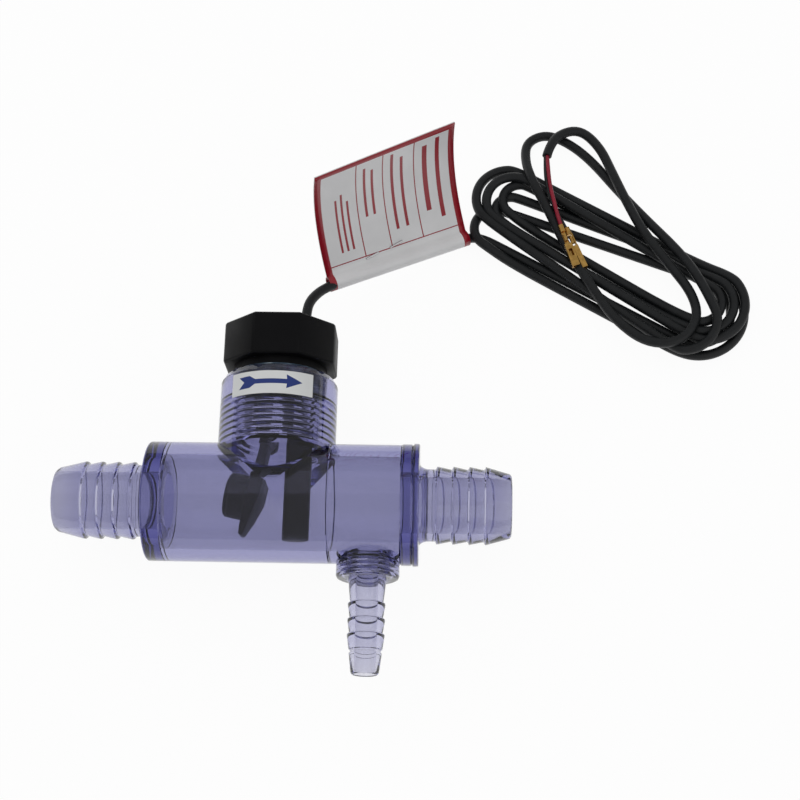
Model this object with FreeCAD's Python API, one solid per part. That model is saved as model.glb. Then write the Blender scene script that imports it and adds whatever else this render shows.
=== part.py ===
import FreeCAD, Part
import math
import os
from FreeCAD import Vector

# Paddle flow switch in a clear tee, lying on its side, in millimetres.
# Working frame: X along the flow, Y up the neck to the switch, Z up from the table.
# Its origin is where the pipe's axis and the neck's axis cross. write() moves every
# piece to the part's own frame, whose origin is under the middle of the switch.

# ---- clear pipe run ----
PIPE_OD = 33.4          # 1 inch pipe
PIPE_WALL = 3.4
TEE_INLET_X = -29.7     # glued joint with the inlet flange
TEE_JOINT_X = 15.8      # glued joint between the tee and the drain section
OUTLET_JOINT_X = 35.6   # glued joint with the outlet flange
SPIGOT_LENGTH = 3.8     # the register of each flange in the bore
SPIGOT_WALL = 2.2
GLUE_GAP = 0.05         # radial, in every glued joint

# ---- neck and its threads ----
NECK_INSET = 0.1                 # the neck is a hair slimmer than the run
NECK_TOP = 35.9
NECK_CHAMFER = (1.2, 2.0)        # radial, axial
THREAD_PITCH = 1.814             # 14 turns to the inch
THREAD_DEPTH = 1.25
THREAD_OD = 27.0                 # female root diameter at the rim
THREAD_TAPER = 1.0 / 32          # per side
THREAD_END = 15.6                # lowest thread in the neck
THREAD_GAP = 0.08

# ---- hose barbs ----
FLANGE_LENGTH = 5.2
FLANGE_ROUND = 0.7
INLET_BARB_LENGTH = 26.0
OUTLET_BARB_LENGTH = 25.5
OUTLET_FLANGE_LENGTH = 5.0
OUTLET_FLANGE_OD = 33.8
OUTLET_LIP_OD = 34.2
OUTLET_LIP_LENGTH = 1.7
LIP_GROOVE = 0.35
BARB_RIDGE_R = 10.85
BARB_ROOT_R = 10.05
BARB_BORE_R = 7.9
BARB_PITCH = 4.5
BARB_RIDGES = 4
INLET_FIRST_RIDGE = 8.1          # from the barb's end
OUTLET_FIRST_RIDGE = 7.1
INLET_TIP_R = 8.8
OUTLET_TIP_R = 9.1
INLET_TIP_ROUND = 2.2
OUTLET_TIP_ROUND = 0.8
BARB_FOOT_FLARE = 1.1

# ---- drain branch ----
DRAIN_X = 26.7
BOSS_OD = 17.5
BOSS_END = -21.2
BOSS_CHAMFER = 0.9
DRAIN_THREAD_OD = 13.6           # 1/4 inch pipe thread
DRAIN_THREAD_PITCH = 1.41
DRAIN_THREAD_DEPTH = 0.8
DRAIN_THREAD_LENGTH = 6.2
DRAIN_BORE_R = 3.1
DRAIN_TIP = -47.4
DRAIN_STEM_R = 5.25
DRAIN_WAIST_R = 4.6
DRAIN_RIDGE_R = 5.15
DRAIN_RIDGES = (-28.1, -32.4, -36.6)
DRAIN_NOTCH = (-40.6, -41.7)
DRAIN_NOTCH_R = 4.25
DRAIN_LAST_R = 4.5
DRAIN_TIP_R = 3.75

# ---- switch body ----
HEAD_FLATS = 31.5
HEAD_STANDOFF = 3.1
HEAD_HEIGHT = 12.4
HEAD_BEVEL = 0.6
COLLAR_LIFT = 0.3
SHANK_END = 24.2
STEM_X = 6.4
STEM_R = 3.7
STEM_END = -10.5
STEM_FLOOR = 1.1
STEM_BORE_R = 2.3
WELL_R = 5.5
WELL_DEPTH = 10.0
POTTING_BELOW = 0.5
POTTING_GAP = 0.03

# ---- paddle and its hinge ----
HINGE_X = -2.7
HINGE_Y = 17.5
PADDLE_LEAN = 11.3               # degrees upstream of the neck's axis, at rest
PIN_R = 0.8
PIN_RUNNING_GAP = 0.07
PIN_SEAT_GAP = 0.02
EYE_R = 2.3
EYE_HALF = 3.7
EAR_GAP = 0.3
EAR_THICK = 2.0
EAR_R = 2.6
HEEL_UPSTREAM = 2.3              # the heel over the eye stops the paddle at rest
HEEL_DOWNSTREAM = 0.8
STOP_GAP = 0.3
BLADE_FRONT = -1.2               # upstream face, from the hinge's plane
BLADE_BACK = 2.6
BLADE_TIP_BACK = 0.2
BLADE_TOP = 10.9
BLADE_TAPER_FROM = 16.9
BLADE_TIP = 27.6
BLADE_HALF_WIDTH = 7.2
BLADE_TIP_HALF = 3.0
ARM_HALF_WIDTH = 3.2
ARM_BACK = 1.2
DRUM_R = 6.35
DRUM_CENTRE = 16.9
DRUM_FACE = -7.2
DRUM_WALL = 1.1
CAP_THICK = 1.3
CAP_ROUND = 1.0
MAGNET_GAP = 0.05

# ---- reed switch inside the stem ----
REED_Y = 0.6
REED_X = STEM_X - 0.6
REED_R = 1.15
REED_LENGTH = 14.0
REED_WALL = 0.3
REED_SEAL = 1.0
REED_LEAD_R = 0.3
REED_LEAD_GAP = 0.02
REED_BLADE = (0.25, 1.0)         # thickness, width
REED_OVERLAP = 1.0
REED_CONTACT_GAP = 0.12
REED_LEAD_OUT = 4.0
REED_RETURN_X = STEM_X + 1.5
BIAS_MAGNET_R = 2.1
BIAS_MAGNET_LENGTH = 1.5

# ---- label on the neck ----
LABEL_TOP = 33.4
LABEL_HEIGHT = 6.6
LABEL_FROM = -45.0               # degrees round the neck from straight up
LABEL_TO = 39.5
LABEL_THICK = 0.12
LABEL_GLUE = 0.02

# ---- cable, conductors and terminals ----
CABLE_R = 1.45
CABLE_SOCKET = 4.0               # how far the jacket goes into the potting
CORE_R = 0.6
CORE_SPACING = 0.65
HANK_HEIGHT = 6.4
# The hank's outline wraps round circles (x, y, radius), listed anticlockwise.
HANK_OVAL = ((62.5, 91.0, 8.0), (122.8, 65.2, 17.4), (64.6, 102.2, 10.4))
HANK_LOOPS = ((77.5, 115.0, 7.5), (105.0, 88.0, 5.0), (84.5, 116.0, 8.0))
HANK_ROUND = 1.4
TERMINAL_LENGTH = 14.0
TERMINAL_WIDTH = 2.3
TERMINAL_HEIGHT = 1.6
TERMINAL_WALL = 0.25
CORE_GRIP = 2.1                  # length of core inside the insulation crimp
CORE_GRIP_GAP = 0.03
WIRE_CRIMP = (1.1, 3.3)          # its two ends, from the core's end
WIRE_CRIMP_R = 0.6
CONTACT_BOX_FROM = 4.4
CONTACT_WINDOW = (6.2, 8.6)
REST_GAP = 0.05                  # between a loose piece and what it lies on

# ---- folded tag ----
TAG_WIDTH = 46.0
TAG_LAYER = 0.25
TAG_LOOP_GAP = 0.7
TAG_LENGTH = 42.5
TAG_START = 43.0                 # degrees above the table where it leaves the cable
TAG_CURL = 44.0
TAG_SKEW = -0.065                # how far the free edge is pulled along the fold, per mm
STAPLE_R = 0.25
STAPLE_CROWN = 4.0
STAPLES = ((15.3, 4.6, 10.0), (23.4, 5.7, 12.0))   # along the fold, up the sheet, turn

PIPE_R = PIPE_OD / 2
BORE_R = PIPE_R - PIPE_WALL
NECK_R = PIPE_R - NECK_INSET
AXIS_HEIGHT = OUTLET_LIP_OD / 2
INLET_FACE_X = TEE_INLET_X - FLANGE_LENGTH
OUTLET_FACE_X = OUTLET_JOINT_X + OUTLET_FLANGE_LENGTH
INLET_END_X = INLET_FACE_X - INLET_BARB_LENGTH
OUTLET_END_X = OUTLET_FACE_X + OUTLET_BARB_LENGTH
HEAD_BASE = NECK_TOP + HEAD_STANDOFF
HEAD_TOP = HEAD_BASE + HEAD_HEIGHT
MINOR_R = THREAD_OD / 2 - THREAD_DEPTH - (NECK_TOP - THREAD_END) * THREAD_TAPER
WELL_FLOOR = HEAD_TOP - WELL_DEPTH
CABLE_START = HEAD_TOP - POTTING_BELOW - CABLE_SOCKET
TABLE = -AXIS_HEIGHT

# The cable's route from the potting to the hank, as (x, y, height over the table).
LEAD_ROUTE = [
    (STEM_X, CABLE_START, AXIS_HEIGHT),
    (STEM_X, 56.5, AXIS_HEIGHT),
    (7.9, 63.0, 15.0),
    (12.9, 68.8, 11.1),
    (51.0, 86.9, 2.9),
    (56.6, 88.6, CABLE_R + REST_GAP),
]
TAG_FROM = (12.3, 68.3, 11.3)    # the ends of the tag's fold, which holds the cable loosely
TAG_TO = (52.8, 87.6, 2.5)
RED_ROUTE = [(76.6, 113.9), (76.9, 107.7), (78.8, 98.4), (80.9, 92.6)]
BLACK_ROUTE = [(78.0, 113.6), (79.3, 107.4), (81.6, 98.2), (83.8, 92.3)]

OVERLAP = 0.5       # how far a fused or cut tool passes its partner
X_AXIS, Y_AXIS, Z_AXIS = Vector(1, 0, 0), Vector(0, 1, 0), Vector(0, 0, 1)


# ---------------------------------------------------------------- building blocks
def cylinder(radius, start, end, axis=Y_AXIS, at=(0, 0, 0)):
    """A cylinder along axis between two distances from a point."""
    low, high = min(start, end), max(start, end)
    base = Vector(*at) + axis * low
    return Part.makeCylinder(radius, high - low, base, axis)


def box(low, high):
    size = [b - a for a, b in zip(low, high)]
    return Part.makeBox(*size, Vector(*low))


def turned(profile, axis, at=(0, 0, 0)):
    """A closed outline of (distance, radius) points turned about an axis."""
    out = Z_AXIS if axis is not Z_AXIS else X_AXIS
    points = [Vector(*at) + axis * a + out * r for a, r in profile]
    face = Part.Face(Part.makePolygon(points + points[:1]))
    return face.revolve(Vector(*at), axis, 360)


def thread_edge(top, bottom, radius, pitch, depth, taper):
    """The (height, radius) outline of a tapered thread's flanks, from top to bottom.
    radius is the root's at top. Each turn is one ring with a flat crest and root."""
    edge = []
    crest = root = pitch / 8
    flank = (pitch - crest - root) / 2
    turns = int((top - bottom) / pitch)
    for turn in range(turns):
        y = top - turn * pitch
        for drop, cut in ((0, depth), (flank, 0), (flank + root, 0), (2 * flank + root, depth)):
            height = y - drop
            edge.append((height, radius - cut - (top - height) * taper))
    return edge


def barb_edge(length, first, tip_r, tip_round):
    """The (distance from the tip, radius) outline of a main hose barb."""
    lip = (tip_r - BARB_BORE_R) / 2
    edge = [(0, BARB_BORE_R + lip * 0.6), (tip_round * 0.12, tip_r - lip), (tip_round * 0.45, tip_r - lip * 0.35),
            (tip_round, tip_r)]
    for ridge in range(BARB_RIDGES):
        peak = first + ridge * BARB_PITCH
        edge += [(peak, BARB_RIDGE_R), (peak + 0.5, BARB_RIDGE_R), (peak + 1.0, BARB_ROOT_R)]
    edge += [(length - BARB_FOOT_FLARE * 2, BARB_ROOT_R), (length, BARB_ROOT_R + BARB_FOOT_FLARE)]
    return edge


def tangent_path(points, least=None, name=""):
    """Straight runs joined by tangent arcs, each as large as its two runs allow."""
    p = [Vector(*q) for q in points]
    edges, start, radii = [], p[0], []
    for a, b, c in zip(p, p[1:], p[2:]):
        into, out = (b - a), (c - b)
        short = min(into.Length, out.Length)
        into.normalize()
        out.normalize()
        half = into.getAngle(out) / 2
        radius = 0.45 * short / math.tan(half)
        radii.append(radius)
        reach = radius * math.tan(half)
        first, last = b - into * reach, b + out * reach
        toward = (out - into).normalize()
        middle = b + toward * (radius / math.cos(half) - radius)
        edges.append(Part.LineSegment(start, first).toShape())
        edges.append(Part.Arc(first, middle, last).toShape())
        start = last
    edges.append(Part.LineSegment(start, p[-1]).toShape())
    if name:
        print(name, "radii", [round(r, 1) for r in radii])
    return Part.Wire(edges)


def tube(points, radius, name=""):
    """A cord's solid: a disc swept along its straight runs and arcs."""
    path = tangent_path(points, name=name)
    start = path.OrderedVertexes[0].Point
    direction = Vector(*points[1]) - Vector(*points[0])
    disc = Part.Wire(Part.makeCircle(radius, start, direction))
    solid = path.makePipeShell([disc], True, True)
    share = solid.Volume / (math.pi * radius ** 2 * path.Length)
    print(name, "length", round(path.Length, 1), "volume share", round(share, 4))
    return solid


def above_table(route):
    return [(x, y, TABLE + h) for x, y, h in route]


# ---------------------------------------------------------------- clear pieces
def neck_thread():
    """The space inside the neck: threads down to THREAD_END, then a plain bore."""
    edge = [(NECK_TOP + OVERLAP, 0), (NECK_TOP + OVERLAP, THREAD_OD / 2)]
    edge += [(NECK_TOP, THREAD_OD / 2)]
    edge += thread_edge(NECK_TOP - THREAD_PITCH / 4, THREAD_END, THREAD_OD / 2,
                        THREAD_PITCH, THREAD_DEPTH, THREAD_TAPER)
    edge += [(THREAD_END, MINOR_R), (0, MINOR_R), (0, 0)]
    return turned(edge, Y_AXIS)


def neck_outside(extra=0.0):
    radial, axial = NECK_CHAMFER
    r = NECK_R + extra
    return turned([(0, 0), (0, r), (NECK_TOP - axial, r), (NECK_TOP, r - radial), (NECK_TOP, 0)], Y_AXIS)


def switch_tee():
    """The moulded tee: a length of pipe with the threaded neck on its side."""
    run = cylinder(PIPE_R, TEE_INLET_X, TEE_JOINT_X, X_AXIS)
    bore = cylinder(BORE_R, TEE_INLET_X - OVERLAP, TEE_JOINT_X + NECK_R, X_AXIS)
    return run.fuse(neck_outside()).cut(bore).cut(neck_thread())


def drain_section():
    """The short pipe past the tee, with the threaded boss for the drain barb."""
    run = cylinder(PIPE_R, TEE_JOINT_X, OUTLET_JOINT_X, X_AXIS)
    r = BOSS_OD / 2
    boss = turned([(0, 0), (0, r), (BOSS_END + BOSS_CHAMFER, r),
                   (BOSS_END, r - BOSS_CHAMFER), (BOSS_END, 0)], Y_AXIS, (DRAIN_X, 0, 0))
    bore = cylinder(BORE_R, TEE_JOINT_X - OVERLAP, OUTLET_JOINT_X + OVERLAP, X_AXIS)
    tapping = thread_edge(-BOSS_END, -BOSS_END - DRAIN_THREAD_LENGTH, DRAIN_THREAD_OD / 2,
                          DRAIN_THREAD_PITCH, DRAIN_THREAD_DEPTH, 0)
    edge = [(BOSS_END - OVERLAP, 0), (BOSS_END - OVERLAP, DRAIN_THREAD_OD / 2 - DRAIN_THREAD_DEPTH)]
    edge += [(-y, radius) for y, radius in tapping]
    floor = BOSS_END + DRAIN_THREAD_LENGTH
    edge += [(floor, DRAIN_THREAD_OD / 2 - DRAIN_THREAD_DEPTH), (floor, 0)]
    hole = cylinder(DRAIN_BORE_R, BOSS_END, 0, Y_AXIS, (DRAIN_X, 0, 0))
    solid = run.fuse(boss).cut(bore).cut(turned(edge, Y_AXIS, (DRAIN_X, 0, 0))).cut(hole)
    return solid.cut(neck_outside(GLUE_GAP))


def spigot(joint, inward):
    """The outline points of a flange's register inside the pipe's bore."""
    outer = BORE_R - GLUE_GAP
    end = joint + inward * SPIGOT_LENGTH
    return [(joint, outer), (end, outer), (end, outer - SPIGOT_WALL)]


def inlet_barb():
    edge = [(INLET_END_X, BARB_BORE_R)]
    edge += [(INLET_END_X + d, r) for d, r in
             barb_edge(INLET_BARB_LENGTH, INLET_FIRST_RIDGE, INLET_TIP_R, INLET_TIP_ROUND)]
    rim = PIPE_R - FLANGE_ROUND
    edge += [(INLET_FACE_X, rim), (INLET_FACE_X + FLANGE_ROUND, PIPE_R), (TEE_INLET_X, PIPE_R)]
    edge += spigot(TEE_INLET_X, 1)
    edge += [(TEE_INLET_X, BARB_BORE_R)]
    return turned(edge, X_AXIS)


def outlet_barb():
    edge = [(OUTLET_END_X, BARB_BORE_R)]
    edge += [(OUTLET_END_X - d, r) for d, r in
             barb_edge(OUTLET_BARB_LENGTH, OUTLET_FIRST_RIDGE, OUTLET_TIP_R, OUTLET_TIP_ROUND)]
    lip, body = OUTLET_LIP_OD / 2, OUTLET_FLANGE_OD / 2
    step = OUTLET_FACE_X - OUTLET_LIP_LENGTH
    edge += [(OUTLET_FACE_X, lip - FLANGE_ROUND), (OUTLET_FACE_X - FLANGE_ROUND / 2, lip), (step, lip),
             (step - LIP_GROOVE / 2, body - LIP_GROOVE), (step - LIP_GROOVE, body),
             (OUTLET_JOINT_X, body)]
    edge += spigot(OUTLET_JOINT_X, -1)
    edge += [(OUTLET_JOINT_X, BARB_BORE_R)]
    return turned(edge, X_AXIS)


def drain_barb():
    """Threaded into the boss, with three ridges, a notch and a tapered tip."""
    edge = [(BOSS_END + DRAIN_THREAD_LENGTH - GLUE_GAP, DRAIN_BORE_R)]
    male = thread_edge(-BOSS_END, -BOSS_END - DRAIN_THREAD_LENGTH, DRAIN_THREAD_OD / 2 - THREAD_GAP,
                       DRAIN_THREAD_PITCH, DRAIN_THREAD_DEPTH, 0)
    edge += [(BOSS_END + DRAIN_THREAD_LENGTH - GLUE_GAP, male[0][1])]
    edge += [(-y, radius) for y, radius in reversed(male)]
    edge += [(BOSS_END, DRAIN_STEM_R)]
    waist = DRAIN_RIDGES[0] + 0.5
    for ridge in DRAIN_RIDGES:
        edge += [(ridge + 0.5, DRAIN_WAIST_R), (ridge, DRAIN_RIDGE_R), (ridge - 0.35, DRAIN_RIDGE_R)]
    top, bottom = DRAIN_NOTCH
    edge += [(top, DRAIN_WAIST_R), (top - 0.2, DRAIN_NOTCH_R), (bottom + 0.2, DRAIN_NOTCH_R),
             (bottom, DRAIN_LAST_R), (DRAIN_TIP + 0.8, DRAIN_TIP_R + 0.15),
             (DRAIN_TIP, DRAIN_TIP_R - 0.35), (DRAIN_TIP, DRAIN_BORE_R)]
    return turned(edge, Y_AXIS, (DRAIN_X, 0, 0))


# ---------------------------------------------------------------- switch body
def octagon(flats, bottom, top):
    """An eight-sided prism along Y with one flat straight up."""
    corner = flats / 2 / math.cos(math.pi / 8)
    turns = [math.pi / 8 + k * math.pi / 4 for k in range(8)]
    points = [Vector(corner * math.sin(t), bottom, corner * math.cos(t)) for t in turns]
    return Part.Face(Part.makePolygon(points + points[:1])).extrude(Y_AXIS * (top - bottom))


def head():
    """The octagonal head, with the edges round its two ends bevelled."""
    block = octagon(HEAD_FLATS, HEAD_BASE, HEAD_TOP)
    rims = [e for e in block.Edges if abs(e.Vertexes[0].Y - e.Vertexes[1].Y) < OVERLAP / 10]
    return block.makeChamfer(HEAD_BEVEL, rims)


def shank():
    """The collar under the head, and the threaded plug in mesh with the neck's own thread."""
    top = NECK_TOP - THREAD_PITCH / 4
    collar_r, core_r = THREAD_OD / 2 - THREAD_GAP, THREAD_OD / 2 - THREAD_DEPTH - THREAD_GAP
    edge = [(HEAD_BASE + OVERLAP, 0), (HEAD_BASE + OVERLAP, collar_r), (NECK_TOP + COLLAR_LIFT, collar_r),
            (NECK_TOP + COLLAR_LIFT, core_r), (top, core_r)]
    edge += thread_edge(top, SHANK_END, THREAD_OD / 2 - THREAD_GAP,
                        THREAD_PITCH, THREAD_DEPTH, THREAD_TAPER)[1:]
    end_r = edge[-1][1] - THREAD_GAP
    edge += [(SHANK_END, end_r), (SHANK_END, 0)]
    return turned(edge, Y_AXIS)


def hinge_ears():
    """Two ears under the plug, with rounded ends and a seat for the pin."""
    inner = EYE_HALF + EAR_GAP
    outer = inner + EAR_THICK
    block = box((HINGE_X - EAR_R, HINGE_Y, -outer), (HINGE_X + EAR_R, SHANK_END + OVERLAP, outer))
    block = block.fuse(cylinder(EAR_R, -outer, outer, Z_AXIS, (HINGE_X, HINGE_Y, 0)))
    slot = box((HINGE_X - EAR_R - OVERLAP, HINGE_Y - EAR_R - OVERLAP, -inner),
               (HINGE_X + EAR_R + OVERLAP, SHANK_END, inner))
    hole = cylinder(PIN_R + PIN_SEAT_GAP, -outer - OVERLAP, outer + OVERLAP, Z_AXIS, (HINGE_X, HINGE_Y, 0))
    return block.cut(slot).cut(hole)


def switch_body():
    """One black moulding: octagonal head, threaded plug, hinge ears and reed stem."""
    solid = head().fuse([shank(), hinge_ears()])
    stem = turned([(SHANK_END + OVERLAP, 0), (SHANK_END + OVERLAP, STEM_R), (STEM_END + 0.4, STEM_R),
                   (STEM_END, STEM_R - 0.4), (STEM_END, 0)], Y_AXIS, (STEM_X, 0, 0))
    bore = cylinder(STEM_BORE_R, STEM_END + STEM_FLOOR, HEAD_TOP, Y_AXIS, (STEM_X, 0, 0))
    well = cylinder(WELL_R, WELL_FLOOR, HEAD_TOP + OVERLAP, Y_AXIS, (STEM_X, 0, 0))
    return solid.fuse(stem).cut(bore).cut(well)


def cable_potting():
    """The resin that fills the head's well round the cable."""
    top = HEAD_TOP - POTTING_BELOW
    body = cylinder(WELL_R - POTTING_GAP, WELL_FLOOR, top, Y_AXIS, (STEM_X, 0, 0))
    socket = cylinder(CABLE_R + POTTING_GAP, CABLE_START, top + OVERLAP, Y_AXIS, (STEM_X, 0, 0))
    for side in (-1, 1):
        socket = socket.fuse(cylinder(CORE_R + POTTING_GAP, WELL_FLOOR - OVERLAP, CABLE_START + OVERLAP,
                                      Y_AXIS, (STEM_X + side * CORE_SPACING, 0, 0)))
    return body.cut(socket)


# ---------------------------------------------------------------- reed switch
def reed_capsule():
    low, high = REED_Y - REED_LENGTH / 2, REED_Y + REED_LENGTH / 2
    hole = REED_LEAD_R + REED_LEAD_GAP
    inner = REED_R - REED_WALL
    edge = [(low, hole), (low, REED_R - REED_WALL), (low + REED_WALL, REED_R), (high - REED_WALL, REED_R),
            (high, REED_R - REED_WALL), (high, hole), (high - REED_SEAL, hole),
            (high - REED_SEAL, inner), (low + REED_SEAL, inner), (low + REED_SEAL, hole)]
    return turned(edge, Y_AXIS, (REED_X, 0, 0))


def reed_blades():
    """The two flattened wires, whose ends overlap in the middle of the glass."""
    thick, width = REED_BLADE
    half = REED_LENGTH / 2
    solids = []
    for side in (1, -1):
        shift = side * (thick + REED_CONTACT_GAP) / 2
        tip = REED_Y - side * REED_OVERLAP / 2
        root = REED_Y + side * (half - REED_SEAL)
        low, high = min(tip, root), max(tip, root)
        blade = box((REED_X + shift - thick / 2, low, -width / 2), (REED_X + shift + thick / 2, high, width / 2))
        out = REED_Y + side * (half + REED_LEAD_OUT)
        if side > 0:
            lead = cylinder(REED_LEAD_R, root - side * 0.3, out, Y_AXIS, (REED_X, 0, 0))
        else:
            turn = REED_Y - half - 1.1
            lead = tube([(REED_X, root + 0.3, 0), (REED_X, turn, 0), (REED_RETURN_X, turn, 0),
                         (REED_RETURN_X, REED_Y + half + REED_LEAD_OUT, 0)], REED_LEAD_R)
        solids.append(blade.fuse(lead))
    return Part.makeCompound(solids)


def inner_lead(side):
    """An insulated core from the reed's lead up to the cable's jacket."""
    start = REED_Y + REED_LENGTH / 2 + REED_LEAD_OUT
    x0 = REED_RETURN_X if side > 0 else REED_X
    x1 = STEM_X + side * CORE_SPACING
    rise = CABLE_START - start
    route = [(x0, start, 0), (x0, start + rise * 0.4, 0), (x1, start + rise * 0.7, 0), (x1, CABLE_START, 0)]
    return tube(route, CORE_R)


# ---------------------------------------------------------------- paddle
def place_paddle(shape):
    """Turns a piece built hanging straight down about the hinge, to its rest pose."""
    placed = shape.copy()
    placed.rotate(Vector(0, 0, 0), Z_AXIS, -PADDLE_LEAN)
    placed.translate(Vector(HINGE_X, HINGE_Y, 0))
    return placed


def paddle():
    """Eye with its stop heel, arm, wedge-shaped blade and the open drum for the magnet."""
    eye = cylinder(EYE_R, -EYE_HALF, EYE_HALF, Z_AXIS)
    arm = box((BLADE_FRONT, -BLADE_TOP - OVERLAP, -ARM_HALF_WIDTH), (ARM_BACK, 0, ARM_HALF_WIDTH))
    side = [Vector(BLADE_FRONT, -BLADE_TOP, 0), Vector(ARM_BACK, -BLADE_TOP, 0),
            Vector(BLADE_BACK, -BLADE_TOP - 2, 0), Vector(BLADE_BACK, -BLADE_TAPER_FROM, 0),
            Vector(BLADE_TIP_BACK, -BLADE_TIP, 0), Vector(BLADE_FRONT, -BLADE_TIP, 0)]
    wedge = Part.Face(Part.makePolygon(side + side[:1]))
    wedge.translate(Vector(0, 0, -BLADE_HALF_WIDTH))
    wedge = wedge.extrude(Z_AXIS * 2 * BLADE_HALF_WIDTH)
    w, t = BLADE_HALF_WIDTH, BLADE_TIP_HALF
    top, bend, tip = -BLADE_TOP, -BLADE_TAPER_FROM - 2, -BLADE_TIP
    right = Part.Arc(Vector(0, bend, w), Vector(0, (bend + tip) / 2 - 1.0, (w + t) / 2 + 0.9), Vector(0, tip, t))
    left = Part.Arc(Vector(0, tip, -t), Vector(0, (bend + tip) / 2 - 1.0, -(w + t) / 2 - 0.9), Vector(0, bend, -w))
    front = [Part.LineSegment(Vector(0, top, -w + 2), Vector(0, top, w - 2)),
             Part.LineSegment(Vector(0, top, w - 2), Vector(0, top - 2, w)),
             Part.LineSegment(Vector(0, top - 2, w), Vector(0, bend, w)), right,
             Part.LineSegment(Vector(0, tip, t), Vector(0, tip, -t)), left,
             Part.LineSegment(Vector(0, bend, -w), Vector(0, top - 2, -w)),
             Part.LineSegment(Vector(0, top - 2, -w), Vector(0, top, -w + 2))]
    leaf = Part.Face(Part.Wire([piece.toShape() for piece in front]))
    leaf.translate(Vector(BLADE_FRONT - OVERLAP, 0, 0))
    leaf = leaf.extrude(X_AXIS * (BLADE_BACK - BLADE_FRONT + 2 * OVERLAP))
    blade = wedge.common(leaf)
    drum = cylinder(DRUM_R, DRUM_FACE + CAP_THICK, BLADE_FRONT + OVERLAP, X_AXIS, (0, -DRUM_CENTRE, 0))
    pocket = cylinder(DRUM_R - DRUM_WALL, DRUM_FACE, BLADE_FRONT, X_AXIS, (0, -DRUM_CENTRE, 0))
    hole = cylinder(PIN_R + PIN_RUNNING_GAP, -EYE_HALF - OVERLAP, EYE_HALF + OVERLAP, Z_AXIS)
    lean = math.radians(PADDLE_LEAN)
    room = SHANK_END - HINGE_Y - STOP_GAP
    rise = (room - HEEL_UPSTREAM * math.sin(lean)) / math.cos(lean)
    heel = box((-HEEL_UPSTREAM, 0, -EYE_HALF), (HEEL_DOWNSTREAM, rise, EYE_HALF))
    return place_paddle(eye.fuse([arm, blade, drum, heel]).cut(pocket).cut(hole))


def magnet_cap():
    """The lid glued on the drum's upstream end, with a rounded edge and a locating step."""
    seat = DRUM_FACE + CAP_THICK
    step_r = DRUM_R - DRUM_WALL - MAGNET_GAP
    edge = [(DRUM_FACE, 0), (DRUM_FACE, DRUM_R - CAP_ROUND), (DRUM_FACE + CAP_ROUND * 0.3, DRUM_R - CAP_ROUND * 0.3),
            (DRUM_FACE + CAP_ROUND, DRUM_R), (seat, DRUM_R), (seat, step_r), (seat + 0.5, step_r), (seat + 0.5, 0)]
    return place_paddle(turned(edge, X_AXIS, (0, -DRUM_CENTRE, 0)))


def paddle_magnet():
    start = DRUM_FACE + CAP_THICK + 0.5 + MAGNET_GAP
    return place_paddle(cylinder(DRUM_R - DRUM_WALL - MAGNET_GAP, start, BLADE_FRONT - MAGNET_GAP,
                                 X_AXIS, (0, -DRUM_CENTRE, 0)))


def hinge_pin():
    reach = EYE_HALF + EAR_GAP + EAR_THICK
    return cylinder(PIN_R, -reach, reach, Z_AXIS, (HINGE_X, HINGE_Y, 0))


# ---------------------------------------------------------------- label, cable and tag
def flow_arrow_label():
    """A thin sticker that follows the neck's curve."""
    inner = NECK_R + LABEL_GLUE
    ring = cylinder(inner + LABEL_THICK, LABEL_TOP - LABEL_HEIGHT, LABEL_TOP)
    ring = ring.cut(cylinder(inner, LABEL_TOP - LABEL_HEIGHT - OVERLAP, LABEL_TOP + OVERLAP))
    reach = 2 * NECK_R
    corners = [(0, 0)] + [(math.sin(math.radians(t)) * reach, math.cos(math.radians(t)) * reach)
                          for t in (LABEL_FROM, (LABEL_FROM + LABEL_TO) / 2, LABEL_TO)]
    points = [Vector(x, LABEL_TOP - LABEL_HEIGHT - OVERLAP, z) for x, z in corners]
    sector = Part.Face(Part.makePolygon(points + points[:1])).extrude(Y_AXIS * (LABEL_HEIGHT + 2 * OVERLAP))
    return ring.common(sector)


def cable_lead():
    return tube(above_table(LEAD_ROUTE), CABLE_R, "cable_lead")


def belted_slab(circles, height, rounding):
    """A slab on the table, its outline a belt pulled round circles listed anticlockwise."""
    slants = []
    for (ax, ay, ar), (bx, by, br) in zip(circles, circles[1:] + circles[:1]):
        slants.append(math.atan2(by - ay, bx - ax) - math.acos((ar - br) / math.dist((ax, ay), (bx, by))))
    edges = []
    for k, (x, y, r) in enumerate(circles):
        turn = (slants[k] - slants[k - 1]) % (2 * math.pi)
        arc = [Vector(x + r * math.cos(t), y + r * math.sin(t), TABLE)
               for t in (slants[k] - turn, slants[k] - turn / 2, slants[k])]
        nx, ny, nr = circles[(k + 1) % len(circles)]
        touch = Vector(nx + nr * math.cos(slants[k]), ny + nr * math.sin(slants[k]), TABLE)
        edges += [Part.Arc(*arc).toShape(), Part.LineSegment(arc[2], touch).toShape()]
    slab = Part.Face(Part.Wire(edges)).extrude(Z_AXIS * height)
    rim = [e for e in slab.Edges if e.BoundBox.ZMin > TABLE + height / 2]
    return slab.makeFillet(rounding, rim)


def cable_hank():
    """The outer shape of the loosely folded cable: its oval and the loops at its top end."""
    oval, loops = (belted_slab(c, HANK_HEIGHT, HANK_ROUND) for c in (HANK_OVAL, HANK_LOOPS))
    return oval.fuse(loops)


CORE_HEIGHT = HANK_HEIGHT + REST_GAP + max(CORE_R + CORE_GRIP_GAP + TERMINAL_WALL, TERMINAL_HEIGHT / 2)


def conductor(route):
    """A stripped core that lies on top of the hank."""
    return tube(above_table([(x, y, CORE_HEIGHT) for x, y in route]), CORE_R, "conductor")


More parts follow.
